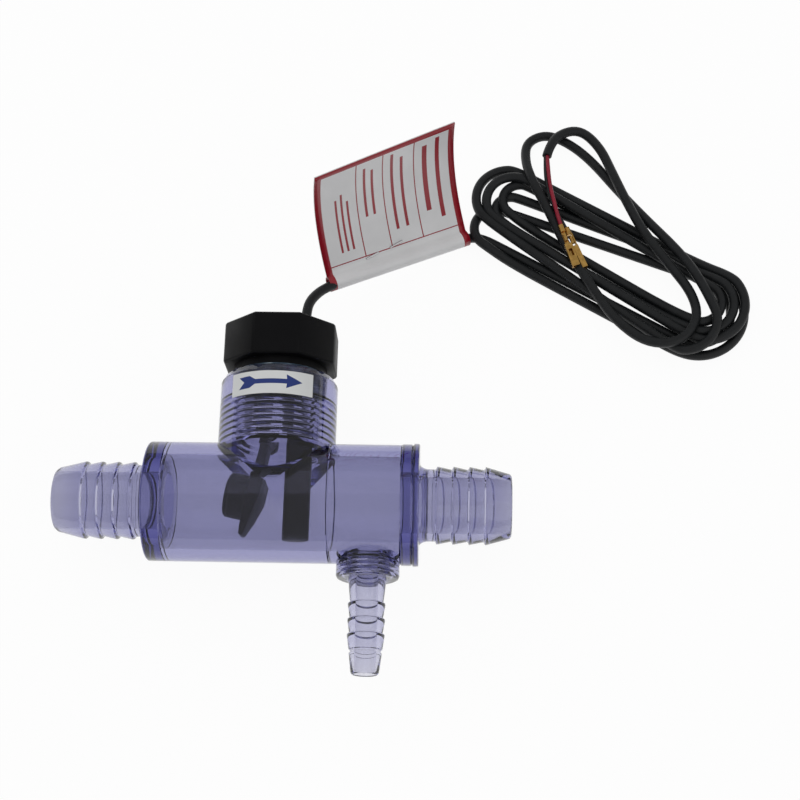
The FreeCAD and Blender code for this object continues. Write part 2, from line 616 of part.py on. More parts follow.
def terminal(route):
    """A crimp terminal: insulation and wire barrels, a neck and a box with a window."""
    w, h, t = TERMINAL_WIDTH, TERMINAL_HEIGHT, TERMINAL_WALL
    end = TERMINAL_LENGTH - CORE_GRIP
    grip = CORE_R + CORE_GRIP_GAP
    insulation = cylinder(grip + t, -CORE_GRIP, t, X_AXIS).cut(cylinder(grip, -CORE_GRIP - t, 0, X_AXIS))
    wire = cylinder(WIRE_CRIMP_R, *WIRE_CRIMP, X_AXIS)
    floor = box((0, -WIRE_CRIMP_R, -h / 2), (end, WIRE_CRIMP_R, -h / 2 + 1.5 * t))
    shell = box((CONTACT_BOX_FROM, -w / 2, -h / 2), (end, w / 2, h / 2))
    shell = shell.cut(box((CONTACT_BOX_FROM - t, t - w / 2, t - h / 2), (end + t, w / 2 - t, h / 2 - t)))
    first, last = CONTACT_WINDOW
    window = box((first, -w / 4, 0), (last, w / 4, h))
    tongue = box((first - t, -w / 4, t / 2 - h / 2), (last + 3 * t, w / 4, 2 * t - h / 2))
    body = insulation.fuse([wire, floor, shell]).cut(window).fuse(tongue)
    a, b = Vector(*route[-2], 0), Vector(*route[-1], 0)
    body.rotate(Vector(0, 0, 0), Z_AXIS, math.degrees(math.atan2(b.y - a.y, b.x - a.x)))
    body.translate(Vector(b.x, b.y, TABLE + CORE_HEIGHT))
    return body


def tag_frame():
    """The fold's start, and the tag's own directions: along the fold, level, and up."""
    start, end = (Vector(*p) for p in above_table([TAG_FROM, TAG_TO]))
    fold = (end - start).normalize()
    level = Z_AXIS.cross(fold).normalize()
    return start, fold, level, fold.cross(level)


def on_tag(along, distance, lift=0.0):
    """A point of the tag: along the fold, up the curled sheet, and off its middle."""
    start, fold, level, up = tag_frame()
    bend = TAG_LENGTH / math.radians(TAG_CURL)
    first = math.radians(TAG_START)
    lean, mean = first + distance / bend, first + math.radians(TAG_CURL) / 2
    y = bend * (math.sin(lean) - math.sin(first)) - lift * math.sin(lean)
    z = bend * (math.cos(first) - math.cos(lean)) + lift * math.cos(lean)
    shift = TAG_SKEW * (y * math.cos(mean) + z * math.sin(mean))
    return start + fold * (along + shift) + level * y + up * z


def cable_tag():
    """The folded sheet: two layers pressed together, with a loop round the cable."""
    start, fold, level, up = tag_frame()
    inner = CABLE_R + TAG_LOOP_GAP
    outer = inner + TAG_LAYER
    first, middle, last = (TAG_LENGTH * share for share in (0.04, 0.5, 1.0))
    top = [on_tag(0, d, TAG_LAYER) for d in (first, middle, last)]
    under = [on_tag(0, d, -TAG_LAYER) for d in (last, middle, first)]
    edges = [Part.Arc(*top), Part.LineSegment(top[2], under[0]), Part.Arc(*under),
             Part.LineSegment(under[2], top[0])]
    sheet = Part.Face(Part.Wire([e.toShape() for e in edges])).extrude(fold * TAG_WIDTH)
    loop = Part.makeCylinder(outer, TAG_WIDTH, start, fold)
    hole = Part.makeCylinder(inner, TAG_WIDTH + 2, start - fold, fold)
    return sheet.fuse(loop).cut(hole)


def tag_staples():
    """Two wire staples through the tag, each a crown and two legs."""
    staples = []
    for along, distance, turn in STAPLES:
        t = math.radians(turn)
        ends = [on_tag(along + side * STAPLE_CROWN / 2 * math.cos(t), distance + side * STAPLE_CROWN / 2 * math.sin(t),
                       TAG_LAYER + STAPLE_R) for side in (-1, 1)]
        feet = [on_tag(along + side * STAPLE_CROWN / 2 * math.cos(t), distance + side * STAPLE_CROWN / 2 * math.sin(t),
                       -TAG_LAYER - STAPLE_R) for side in (-1, 1)]
        crown = Part.makeCylinder(STAPLE_R, (ends[1] - ends[0]).Length, ends[0], ends[1] - ends[0])
        pieces = [Part.makeSphere(STAPLE_R, ends[0]), Part.makeSphere(STAPLE_R, ends[1])]
        pieces += [Part.makeCylinder(STAPLE_R, (f - e).Length, e, f - e) for e, f in zip(ends, feet)]
        staples.append(crown.fuse(pieces))
    return Part.makeCompound(staples)


# ---------------------------------------------------------------- writing the files
CENTRE = Vector((INLET_END_X + OUTLET_END_X) / 2, (HEAD_TOP + DRAIN_TIP) / 2, TABLE)

PIECES = {
    "switch_tee": switch_tee,
    "drain_section": drain_section,
    "inlet_barb": inlet_barb,
    "outlet_barb": outlet_barb,
    "drain_barb": drain_barb,
    "switch_body": switch_body,
    "cable_potting": cable_potting,
    "hinge_pin": hinge_pin,
    "paddle": paddle,
    "magnet_cap": magnet_cap,
    "paddle_magnet": paddle_magnet,
    "bias_magnet": lambda: cylinder(BIAS_MAGNET_R, STEM_END + STEM_FLOOR,
                                    STEM_END + STEM_FLOOR + BIAS_MAGNET_LENGTH, Y_AXIS, (STEM_X, 0, 0)),
    "reed_capsule": reed_capsule,
    "reed_blades": reed_blades,
    "red_inner_lead": lambda: inner_lead(-1),
    "black_inner_lead": lambda: inner_lead(1),
    "flow_arrow_label": flow_arrow_label,
    "cable_lead": cable_lead,
    "cable_hank": cable_hank,
    "red_conductor": lambda: conductor(RED_ROUTE),
    "black_conductor": lambda: conductor(BLACK_ROUTE),
    "red_terminal": lambda: terminal(RED_ROUTE),
    "black_terminal": lambda: terminal(BLACK_ROUTE),
    "cable_tag": cable_tag,
    "tag_staples": tag_staples,
}


def write(name, shape):
    placed = shape.copy()
    placed.translate(-CENTRE)
    placed.exportStep(f"parts/{name}.step")
    b = placed.BoundBox
    print(f"{name:18s} {len(placed.Solids)} solids valid {placed.isValid()} volume {placed.Volume:9.1f}"
          f"  x {b.XMin:.1f}..{b.XMax:.1f}  y {b.YMin:.1f}..{b.YMax:.1f}  z {b.ZMin:.1f}..{b.ZMax:.1f}")


os.makedirs("parts", exist_ok=True)
print("centre", CENTRE)
for piece_name, build in PIECES.items():
    write(piece_name, build())
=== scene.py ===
import math

import bpy
from mathutils import Matrix, Vector


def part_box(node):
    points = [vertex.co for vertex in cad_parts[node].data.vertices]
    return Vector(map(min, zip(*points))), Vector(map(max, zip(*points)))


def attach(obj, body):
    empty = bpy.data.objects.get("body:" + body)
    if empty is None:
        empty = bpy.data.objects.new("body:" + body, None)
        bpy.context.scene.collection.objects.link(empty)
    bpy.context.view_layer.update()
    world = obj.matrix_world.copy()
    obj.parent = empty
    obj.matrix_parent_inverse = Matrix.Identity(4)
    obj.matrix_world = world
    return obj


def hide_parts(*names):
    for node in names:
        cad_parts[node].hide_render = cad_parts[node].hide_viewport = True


bl_info = {
    "name": "Paddle Flow Switch",
    "version": (1, 0, 0),
    "blender": (4, 5, 0),
    "location": "View3D > Sidebar > Flow Switch",
    "description": "Dresses a clear paddle flow switch, its tag and its folded cable",
    "category": "Object",
}

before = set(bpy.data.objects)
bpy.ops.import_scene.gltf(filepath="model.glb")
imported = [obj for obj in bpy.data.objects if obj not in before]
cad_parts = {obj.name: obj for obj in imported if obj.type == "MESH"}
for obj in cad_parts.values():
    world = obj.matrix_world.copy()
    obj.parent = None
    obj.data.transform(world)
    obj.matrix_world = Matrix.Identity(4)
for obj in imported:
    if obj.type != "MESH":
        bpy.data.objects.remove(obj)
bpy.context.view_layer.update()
MM = 0.001


def middle(node, axis):
    low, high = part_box(node)
    return (low[axis] + high[axis]) / 2


# Working frame, in millimetres: X along the flow, Y up the neck, Z off the table.
# Its origin is where the pipe's axis crosses the neck's.
ORIGIN = Vector((middle("switch_body", 0), middle("inlet_barb", 1), middle("inlet_barb", 2)))
AXIS_HEIGHT = ORIGIN.z / MM

# ---- clear pipe run ----
PIPE_R = 16.7
BORE_R = 13.3
TEE_INLET_X = -29.7
TEE_JOINT_X = 15.8
OUTLET_JOINT_X = 35.6
GLUE_GAP = 0.04
GLUE_GROOVE = 0.16
SEAT_LENGTH = 3.9
SEAT_STEP = 0.12
NECK_R = 16.6
NECK_TOP = 35.9
THREAD_PITCH = 1.814
THREAD_DEPTH = 1.25
THREAD_ROOT_R = 13.5
THREAD_TAPER = 1 / 32
THREAD_START = 29.2
THREAD_END = 13.7
THREAD_GAP = 0.16
UNDERCUT = 0.5
TAPE = 0.07

# ---- hose barbs ----
FLANGE_LENGTH = 5.2
FLANGE_ROUND = 0.7
BARB_RIDGE_R = 10.85
BARB_ROOT_R = 10.05
BARB_BORE_R = 7.9
BARB_PITCH = 4.5
BARB_RIDGES = 4
# Each main barb: its length, its first ridge, its tip's radius and rounding, and how blunt its ridges are.
INLET_BARB = (26.0, 8.1, 9.4, 2.2, 0.3)
OUTLET_BARB = (25.5, 7.1, 9.1, 0.8, 0.12)
OUTLET_FLANGE_LENGTH = 5.0
OUTLET_FLANGE_R = 16.9
OUTLET_LIP_R = 17.1
OUTLET_LIP_LENGTH = 1.7
DRAIN_X = 26.7
BOSS_R = 8.75
BOSS_END = -21.2
DRAIN_THREAD_R = 6.8
DRAIN_THREAD_PITCH = 1.41
DRAIN_THREAD_DEPTH = 0.8
DRAIN_THREAD_LENGTH = 6.2
DRAIN_BORE_R = 3.1
DRAIN_TIP = -47.4
DRAIN_STEM_R = 5.25
DRAIN_WAIST_R = 4.6
DRAIN_RIDGE_R = 5.15
DRAIN_RIDGES = (-28.1, -32.4, -36.6)

# ---- black switch moulding and paddle ----
HEAD_FLATS = 31.5
HEAD_BASE = NECK_TOP + 3.1
HEAD_BEVEL = 0.6
HEAD_TOP = 51.4
SHANK_END = 24.2
STEM_X = 6.4
STEM_R = 3.7
STEM_END = -10.5
WELL_R = 5.5
WELL_DEPTH = 10
HINGE = (-2.7, 17.5)
PADDLE_LEAN = 11.3
EYE_R = 2.3
EYE_BORE_R = 0.87
EYE_HALF = 3.7
ARM_HALF = 1.2
ARM_HALF_WIDTH = 3.2
EAR_R = 2.6
EAR_INNER = 4.0
EAR_OUTER = 6.0
BLADE_HALF_WIDTH = 7.2
BLADE_TOP = 10.9
BLADE_TIP = 27.6
BLADE_TIP_HALF = 3.0
BLADE_TIP_BACK = 0.2
BLADE_BACK = 2.6
# Where the blade narrows: distance below the hinge, half width, and how far back it reaches there.
BLADE_STATIONS = ((16.9, 7.2, 2.6), (22.5, 6.1, 1.4))
DRUM_R = 6.35
DRUM_CENTRE = 16.9
DRUM_FACE = -7.2
DRUM_BACK = 1.0
DRUM_FLOOR = 0.25
DRUM_WALL = 1.1
CAP_THICK = 1.3

# ---- label ----
LABEL_TOP = 33.4
LABEL_HEIGHT = 6.6
LABEL_FROM = -45.0
LABEL_TO = 39.5

# ---- cable ----
CABLE_R = 1.45
CORE_R = 0.6
# The cable's route as far as the hank: (x, y, height over the table).
LEAD_ROUTE = [
    (6.4, 46.9, 17.1),
    (6.4, 56.5, 17.1),
    (7.7, 62.6, 15.3),
    (13.6, 69.0, 10.9),
    (51.0, 86.9, 2.9),
    (56.6, 88.6, 1.5),
]
# The hank's bends, in the order that they were laid: centre x and y, radius, first and last angle, height at
# the first and at the last angle, and height of the run that follows.
HANK_BENDS = [
    (121.5, 65.0, 10.5, -115, 72, 1.5, 1.5, 1.5),
    (62.0, 90.4, 7.0, 75, 238, 1.5, 4.8, 1.5),
    (121.6, 65.0, 14.4, -110, 75, 1.5, 1.5, 1.5),
    (67.0, 96.2, 5.6, 80, 215, 1.5, 4.6, 1.5),
    (123.2, 66.6, 9.2, -105, 50, 4.6, 4.6, 1.5),
    (69.8, 99.5, 6.2, 80, 220, 2.2, 4.9, 1.5),
    (122.2, 66.8, 6.4, -95, 45, 4.6, 4.6, 4.0),
    (67.0, 98.9, 8.4, 65, 215, 4.6, 5.0, 4.2),
    (123.8, 66.5, 11.9, -105, 45, 4.8, 4.6, 1.5),
    (66.4, 100.1, 10.9, 85, 215, 1.5, 5.2, 4.2),
    (117.5, 60.5, 9.3, -105, 20, 5.4, 7.6, 7.5),
]
BEND_POINTS = 8
RUN_SHARES = (0.15, 0.5, 0.85)
# The last, loose stretch: two big loops over the hank, to the stripped end.
TAIL_ROUTE = [
    (121.0, 75.0, 7.5), (115.0, 83.0, 7.5), (107.0, 93.0, 5.0), (99.0, 104.0, 2.0), (91.0, 114.5, 1.5),
    (84.0, 120.5, 1.5), (77.0, 123.5, 1.5), (71.0, 120.5, 1.6), (70.5, 113.0, 3.8), (72.5, 104.5, 7.6),
    (77.0, 96.5, 6.0), (81.5, 87.0, 4.8), (86.0, 78.0, 5.8), (91.0, 68.5, 7.2), (97.0, 59.5, 7.3),
    (106.0, 52.5, 7.2), (116.0, 53.0, 7.4), (121.5, 61.0, 6.0), (120.0, 69.5, 5.0), (113.5, 77.5, 6.8),
    (106.0, 87.5, 7.3), (101.0, 98.5, 6.2), (97.0, 109.0, 4.6), (93.5, 118.5, 3.0), (87.5, 124.5, 3.0),
    (80.5, 121.5, 5.2), (77.5, 115.5, 7.0), (77.0, 113.0, 7.3),
]
CORE_HEIGHT = 7.33
RED_ROUTE = [(77.1, 113.0, 7.4), (77.4, 108.2, 7.5), (77.9, 102.8, 7.6), (79.2, 97.2, 7.6), (80.4, 92.0, 7.5),
             (81.6, 88.4, 7.4)]
BLACK_ROUTE = [(76.6, 112.9, 7.2), (76.5, 108.0, 6.7), (77.2, 102.4, 7.0), (78.8, 97.0, 6.4),
               (81.6, 91.6, 6.0), (83.4, 87.9, 6.3)]
# Where the cores' ends and the terminals' own axes lie in the frame: x, y, heading in degrees.
RED_SEAT = (80.9, 92.6, -70.1)
BLACK_SEAT = (83.8, 92.3, -69.6)
RED_PLACE = (81.7, 88.0, 7.4, -71.0, 0.0)
BLACK_PLACE = (83.6, 87.6, 6.35, -67.0, 90.0)

# ---- tag ----
TAG_FROM = (12.3, 68.3, 11.3)
TAG_TO = (52.8, 87.6, 2.5)
TAG_WIDTH = 46.0
TAG_LENGTH = 42.5
TAG_START = (46.5, 39.5)
TAG_CURL = 44.0
TAG_SKEW = -0.055
TAG_BORDER = 2.0
TAG_RULE = 0.35
TAG_LOOP_R = 2.2
TAG_LOOP_OPEN = 32
TAG_LOOP_POINTS = 14
TAG_GAP = 0.15
TAG_THICK = 0.22

STEPS = 128
# Where two of the tee's cylinders meet at a shallow angle, their meeting still shows as a crease.
CREASE = 5


def at(x, y, z=0.0):
    """A point of the working frame, as a place in the scene."""
    return ORIGIN + Vector((x, y, z)) * MM


def over_table(x, y, height):
    return at(x, y, height - AXIS_HEIGHT)


# ---------------------------------------------------------------- modelling helpers
def deselect():
    if bpy.context.object and bpy.context.object.mode != "OBJECT":
        bpy.ops.object.mode_set(mode="OBJECT")
    bpy.ops.object.select_all(action="DESELECT")


def pick(obj):
    deselect()
    obj.select_set(True)
    bpy.context.view_layer.objects.active = obj
    return obj


def named(name):
    obj = bpy.context.object
    obj.name = obj.data.name = name
    return obj


def edit_all():
    """Opens the picked object's mesh with all of it selected."""
    bpy.ops.object.mode_set(mode="EDIT")
    bpy.ops.mesh.select_all(action="SELECT")


def edit_done():
    bpy.ops.object.mode_set(mode="OBJECT")


def placed(name, data):
    """A new object that holds data, in the scene's own collection."""
    obj = bpy.data.objects.new(name, data)
    bpy.context.scene.collection.objects.link(obj)
    return obj


def settle(obj):
    """Puts the object's place into its mesh and leaves the object at the origin."""
    pick(obj)
    bpy.ops.object.transform_apply(location=True, rotation=True, scale=True)
    return obj


def recalculate(obj):
    pick(obj)
    edit_all()
    bpy.ops.mesh.remove_doubles(threshold=2e-6)
    bpy.ops.mesh.normals_make_consistent(inside=False)
    edit_done()
    return obj


def smooth(obj, angle=28):
    pick(obj)
    bpy.ops.object.shade_smooth_by_angle(angle=math.radians(angle))
    return obj


def chain(name, points):
    """A string of edges through the points, drawn out vertex by vertex."""
    deselect()
    bpy.ops.mesh.primitive_plane_add(size=MM)
    obj = named(name)
    edit_all()
    bpy.ops.mesh.merge(type="CENTER")
    bpy.ops.transform.translate(value=points[0])
    for a, b in zip(points, points[1:]):
        bpy.ops.mesh.extrude_region_move(TRANSFORM_OT_translate={"value": b - a})
    edit_done()
    return obj


def lathe(name, outline, along, out, centre=(0, 0, 0), steps=STEPS):
    """Spins a closed outline of (distance, radius) about the line along through centre."""
    along, out = Vector(along), Vector(out)
    base = at(*centre)
    outline = [p for p, q in zip(outline, outline[1:] + outline[:1]) if math.dist(p, q) > 1e-4]
    points = [base + (along * d + out * r) * MM for d, r in outline + outline[:1]]
    obj = chain(name, points)
    pick(obj)
    edit_all()
    bpy.ops.mesh.spin(steps=steps, angle=2 * math.pi, center=base, axis=along)
    edit_done()
    return recalculate(obj)


def along_x(name, outline, centre=(0, 0, 0), steps=STEPS):
    return lathe(name, outline, (1, 0, 0), (0, 0, 1), centre, steps)


def along_y(name, outline, centre=(0, 0, 0), steps=STEPS):
    return lathe(name, outline, (0, 1, 0), (0, 0, 1), centre, steps)


def along_z(name, outline, centre=(0, 0, 0), steps=48):
    return lathe(name, outline, (0, 0, 1), (1, 0, 0), centre, steps)


def block(name, low, high, bevel=0.0):
    """A block between two corners, with its edges rounded."""
    deselect()
    size = Vector(high) - Vector(low)
    bpy.ops.mesh.primitive_cube_add(size=1, location=at(*((a + b) / 2 for a, b in zip(low, high))))
    obj = named(name)
    obj.scale = size * MM
    settle(obj)
    if bevel:
        edit_all()
        bpy.ops.mesh.bevel(offset=bevel * MM, segments=3, affect="EDGES")
        edit_done()
    return obj


def combine(obj, tool, operation):
    """Unites, cuts or intersects obj with tool, and removes tool."""
    pick(obj)
    step = obj.modifiers.new("combine", "BOOLEAN")
    step.operation, step.object, step.solver = operation, tool, "EXACT"
    bpy.ops.object.modifier_apply(modifier=step.name)
    bpy.data.objects.remove(tool)
    return obj


def join(name, parts):
    deselect()
    for part in parts:
        part.select_set(True)
    bpy.context.view_layer.objects.active = parts[0]
    bpy.ops.object.join()
    return named(name)


def rounded(obj, width, segments=3, angle=35):
    """Rounds the object's sharp edges."""
    pick(obj)
    step = obj.modifiers.new("rounding", "BEVEL")
    step.width, step.segments, step.limit_method = width * MM, segments, "ANGLE"
    step.angle_limit = math.radians(angle)
    step.harden_normals = False
    bpy.ops.object.modifier_apply(modifier=step.name)
    return obj


def finish_piece(obj, name, body, *nodes, slot=None):
    """Gives a piece the finish of that name and its body, and hides the CAD nodes that it stands for."""
    obj.data.materials.clear()
    obj.data.materials.append(finish(name))
    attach(obj, body)
    if nodes:
        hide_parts(*nodes)
    return obj


def ring_thread(top, bottom, radius, pitch, depth, taper):
    """The (height, radius) outline of a thread, one ring to a turn, from top to bottom."""
    edge = []
    crest = pitch / 8
    flank = (pitch - 2 * crest) / 2
    for turn in range(int((top - bottom) / pitch)):
        start = top - turn * pitch
        for drop, cut in ((0, depth), (flank, 0.0), (flank + crest, 0.0), (2 * flank + crest, depth)):
            height = start - drop
            edge.append((height, radius - cut - (top - height) * taper))
    return edge


def arc(centre, radius, start, end, count):
    """Points (distance, radius) on an arc of an outline, from one angle to another."""
    return [(centre[0] + radius * math.cos(math.radians(start + (end - start) * k / (count - 1))),
             centre[1] + radius * math.sin(math.radians(start + (end - start) * k / (count - 1))))
            for k in range(count)]


# ---------------------------------------------------------------- materials
def linear(code):
    """A colour written in hex, as the linear values that shaders take."""
    parts = [int(code[k:k + 2], 16) / 255 for k in (0, 2, 4)]
    return [c / 12.92 if c <= 0.04045 else ((c + 0.055) / 1.055) ** 2.4 for c in parts] + [1.0]


def node(tree, kind, links=None, **settings):
    """Adds a shader node. settings name its sockets (spaces as _) or its own properties."""
    made = tree.nodes.new(kind)
    for key, value in settings.items():
        socket = made.inputs.get(key.replace("_", " "))
        if socket is not None:
            socket.default_value = value
        else:
            setattr(made, key, value)
    for socket, source in (links or {}).items():
        tree.links.new(source, made.inputs[socket])
    return made


def surface(name):
    """A new material: its tree, its Principled shader, and the object's own coordinates."""
    made = bpy.data.materials.new(name)
    made.use_nodes = True
    tree = made.node_tree
    shader = next(n for n in tree.nodes if n.type == "BSDF_PRINCIPLED")
    place = node(tree, "ShaderNodeTexCoord").outputs["Object"]
    return made, tree, shader, place


def noise(tree, place, size_mm, detail=2.0, roughness=0.5):
    """Noise whose lumps are size_mm across."""
    return node(tree, "ShaderNodeTexNoise", {"Vector": place}, Scale=1 / (size_mm * MM), Detail=detail,
                Roughness=roughness)


def ramp(tree, source, stops):
    made = node(tree, "ShaderNodeValToRGB", {"Fac": source})
    first, last = made.color_ramp.elements
    first.position, first.color = stops[0]
    last.position, last.color = stops[-1]
    for position, color in stops[1:-1]:
        made.color_ramp.elements.new(position).color = color
    return made


def graded(tree, source, shader, entry, stops):
    """Drives one of the shader's inputs from a noise, through a ramp with those stops."""
    tree.links.new(ramp(tree, source.outputs["Fac"], stops).outputs["Color"], shader.inputs[entry])


def preset(shader, **values):
    """Sets a shader's inputs; an underscore stands for a space in an input's name."""
    for entry, value in values.items():
        shader.inputs[entry.replace("_", " ")].default_value = value


def grey(value):
    return (value, value, value, 1.0)


def shaded(tone, share):
    """A tone with its brightness at that share of what it was."""
    return [c * share for c in tone[:3]] + [1.0]


def bump(tree, shader, height, depth_mm, strength=1.0):
    made = node(tree, "ShaderNodeBump", {"Height": height}, Strength=strength, Distance=depth_mm * MM)
    tree.links.new(made.outputs["Normal"], shader.inputs["Normal"])


def clear_pvc(name, tone, density):
    """Clear PVC, injection moulded: faintly violet in its depth, with slow waves in its skin, and a base
    colour darkened with painted shade of the floor seen through it.
    """
    made, tree, shader, place = surface(name)
    # Base_Color is the tone: the plastic's faint tint, darkened further as painted shade of the shadowed
    # floor seen through the piece.
    preset(shader, Base_Color=tone, Transmission_Weight=1.0, Roughness=0.035, IOR=1.53)
    waves = noise(tree, place, 5.0, 1.0)
    bump(tree, shader, waves.outputs["Fac"], 0.05, 0.5)
    depth = node(tree, "ShaderNodeVolumeAbsorption", Color=(0.108, 0.108, 0.6, 1.0), Density=density)
    out = next(n for n in tree.nodes if n.type == "OUTPUT_MATERIAL")
    tree.links.new(depth.outputs["Volume"], out.inputs["Volume"])
    return made


def moulded(name, tone, roughness, grain_mm=0.25, grain_depth=0.012, spread=0.12, gleam=0.5):
    """Opaque moulded plastic: a fine spark-eroded grain and slow changes of gloss."""
    made, tree, shader, place = surface(name)
    patches = noise(tree, place, 6.0, 3.0)
    graded(tree, patches, shader, "Base Color",
           [(0.35, shaded(tone, 1 - spread)), (0.65, shaded(tone, 1 + spread))])
    graded(tree, patches, shader, "Roughness", [(0.3, grey(roughness - 0.06)), (0.7, grey(roughness + 0.06))])
    shader.inputs["Specular IOR Level"].default_value = gleam
    grain = noise(tree, place, grain_mm, 2.0)
    bump(tree, shader, grain.outputs["Fac"], grain_depth)
    return made


def metal(name, tone, roughness, grain_mm=0.12, stretch=(1.0, 1.0, 1.0), tarnish=0.1):
    """Bare or plated metal: faint drawn or stamped marks and uneven polish."""
    made, tree, shader, place = surface(name)
    shader.inputs["Metallic"].default_value = 1.0
    marks = node(tree, "ShaderNodeMapping", {"Vector": place}, Scale=stretch)
    fine = noise(tree, marks.outputs["Vector"], grain_mm, 2.0)
    patches = noise(tree, place, 1.5, 2.0)
    graded(tree, patches, shader, "Base Color", [(0.4, shaded(tone, 1 - tarnish)), (0.62, [*tone])])
    graded(tree, fine, shader, "Roughness", [(0.3, grey(roughness * 0.8)), (0.7, grey(roughness * 1.3))])
    bump(tree, shader, fine.outputs["Fac"], 0.004)
    return made


def sheet_stock(name, tone, roughness, fibre_mm=0.35, depth=0.006):
    """Coated paper or vinyl: an even colour with a barely felt fibre under the coat."""
    made, tree, shader, place = surface(name)
    fibre = noise(tree, place, fibre_mm, 4.0, 0.65)
    patches = noise(tree, place, 9.0, 2.0)
    graded(tree, patches, shader, "Base Color", [(0.3, shaded(tone, 0.94)), (0.7, [*tone])])
    preset(shader, Roughness=roughness, Coat_Weight=0.25, Coat_Roughness=0.2)
    bump(tree, shader, fibre.outputs["Fac"], depth)
    return made


def cable_jacket(tone):
    """PVC jacket, extruded: satin black with a faint fine grain and handling dust."""
    made, tree, shader, place = surface("extruded_pvc_jacket")
    dust = noise(tree, place, 2.5, 4.0, 0.6)
    graded(tree, dust, shader, "Base Color", [(0.35, shaded(tone, 0.76)), (0.7, shaded(tone, 1.24))])
    shader.inputs["Specular IOR Level"].default_value = 0.35
    graded(tree, dust, shader, "Roughness", [(0.3, grey(0.42)), (0.7, grey(0.55))])
    grain = noise(tree, place, 0.4, 3.0)
    bump(tree, shader, grain.outputs["Fac"], 0.015)
    return made


def seal_tape():
    """PTFE tape, stretched over black plastic: milky white where it is thick, blue grey where thin."""
    made, tree, shader, place = surface("stretched_ptfe_tape")
    along = node(tree, "ShaderNodeMapping", {"Vector": place}, Scale=(0.25, 1.0, 0.25))
    layers = noise(tree, along.outputs["Vector"], 1.4, 3.0, 0.6)
    graded(tree, layers, shader, "Base Color",
           [(0.36, linear("2C3A48")), (0.5, linear("4C5F70")), (0.66, linear("A9B7C2"))])
    shader.inputs["Roughness"].default_value = 0.5
    bump(tree, shader, layers.outputs["Fac"], 0.03)
    return made


def glass():
    """Soft glass tube of a reed switch: clear, a little green."""
    made, tree, shader, place = surface("reed_soda_glass")
    preset(shader, Base_Color=linear("DDF0E4"), Transmission_Weight=1.0, IOR=1.52)
    flow = noise(tree, place, 2.0, 1.0)
    graded(tree, flow, shader, "Roughness", [(0.3, grey(0.01)), (0.7, grey(0.04))])
    return made


FINISHES = {}


def chosen():
    """The sizes and colours that the scene now holds."""
    return bpy.context.scene.flow_switch


def finish(name):
    """Each finish is made once, when a piece first asks for it."""
    now = chosen()
    makers = {
        "clear": lambda: clear_pvc("clear_moulded_pvc", now.clear_tint_and_shade, 105.0),
        "drain_clear": lambda: clear_pvc("clear_drain_pvc", now.drain_colour, 95.0),
        "black_abs": lambda: moulded("moulded_black_abs", now.body_colour, 0.45, gleam=0.12),
        "tape": seal_tape,
        "paddle": lambda: moulded("moulded_grey_polypropylene", now.paddle_colour, 0.5, gleam=0.25),
        "resin": lambda: moulded("cast_black_epoxy", linear("101012"), 0.18, 3.0, 0.03),
        "ferrite": lambda: moulded("sintered_ferrite", linear("3A3A3C"), 0.6, 0.1, 0.02),
        "red_core": lambda: moulded("extruded_red_pvc", now.red_colour, 0.35, 0.5, 0.006),
        "black_core": lambda: moulded("extruded_black_pvc", now.black_colour, 0.38, 0.5, 0.006),
        "steel": lambda: metal("ground_stainless_wire", linear("C9C9CC"), 0.22, 0.08, (1, 1, 0.1)),
        "reed": lambda: metal("plated_nickel_iron", linear("B9B6AC"), 0.28),
        "gold": lambda: metal("stamped_gold_flashed_brass", now.terminal_colour, 0.3, 0.15, (1, 1, 1), 0.25),
        "staple": lambda: metal("drawn_bright_steel", linear("D5D5D7"), 0.2),
        "vinyl": lambda: sheet_stock("printed_white_vinyl", now.label_colour, 0.38, 0.5, 0.003),
        "blue_ink": lambda: sheet_stock("blue_screen_ink", now.arrow_colour, 0.4, 0.3, 0.003),
        "paper": lambda: sheet_stock("laminated_white_paper", now.tag_colour, 0.32),
        "red_ink": lambda: sheet_stock("dark_red_print", now.print_colour, 0.32),
        "jacket": lambda: cable_jacket(now.jacket_colour),
        "glass": glass,
    }
    if name not in FINISHES:
        FINISHES[name] = makers[name]()
    return FINISHES[name]


# ---------------------------------------------------------------- clear pieces
def run_section(name, start, end):
    """A length of plain pipe, solid, its ends bevelled for the glue; its bore is cut later."""
    bevel = GLUE_GROOVE
    return along_x(name, [(start, 0), (start, PIPE_R - bevel), (start + bevel, PIPE_R), (end - bevel, PIPE_R),
                          (end, PIPE_R - bevel), (end, 0)])


def pipe_bore(name, start, end):
    """The bore of a pipe, a little narrower where a barb is seated in its end."""
    seat = OUTLET_JOINT_X - SEAT_LENGTH
    edge = [(start, 0), (start, BORE_R), (min(end, seat), BORE_R)]
    if end > seat:
        edge += [(seat, BORE_R - SEAT_STEP), (end, BORE_R - SEAT_STEP)]
    return along_x(name, edge + [(end, 0)])


def neck_outside(name, extra=0.0):
    r = NECK_R + extra
    edge = [(0, 0), (0, r), (NECK_TOP - 2.0, r)]
    edge += [(NECK_TOP - 1.75, r - 0.06), (NECK_TOP - 0.2, r - 1.0), (NECK_TOP, r - 1.25), (NECK_TOP, 0)]
    return along_y(name, edge)


def neck_space(name):
    """What is cut out of the neck: its threads, then a plain bore."""
    edge = [(NECK_TOP + 1, 0), (NECK_TOP + 1, THREAD_ROOT_R), (THREAD_START, THREAD_ROOT_R)]
    edge += ring_thread(THREAD_START, THREAD_END, THREAD_ROOT_R, THREAD_PITCH, THREAD_DEPTH, THREAD_TAPER)
    low_r = THREAD_ROOT_R - THREAD_DEPTH - (THREAD_START - THREAD_END) * THREAD_TAPER - UNDERCUT
    edge += [(THREAD_END, low_r), (0, low_r), (0, 0)]
    return along_y(name, edge)


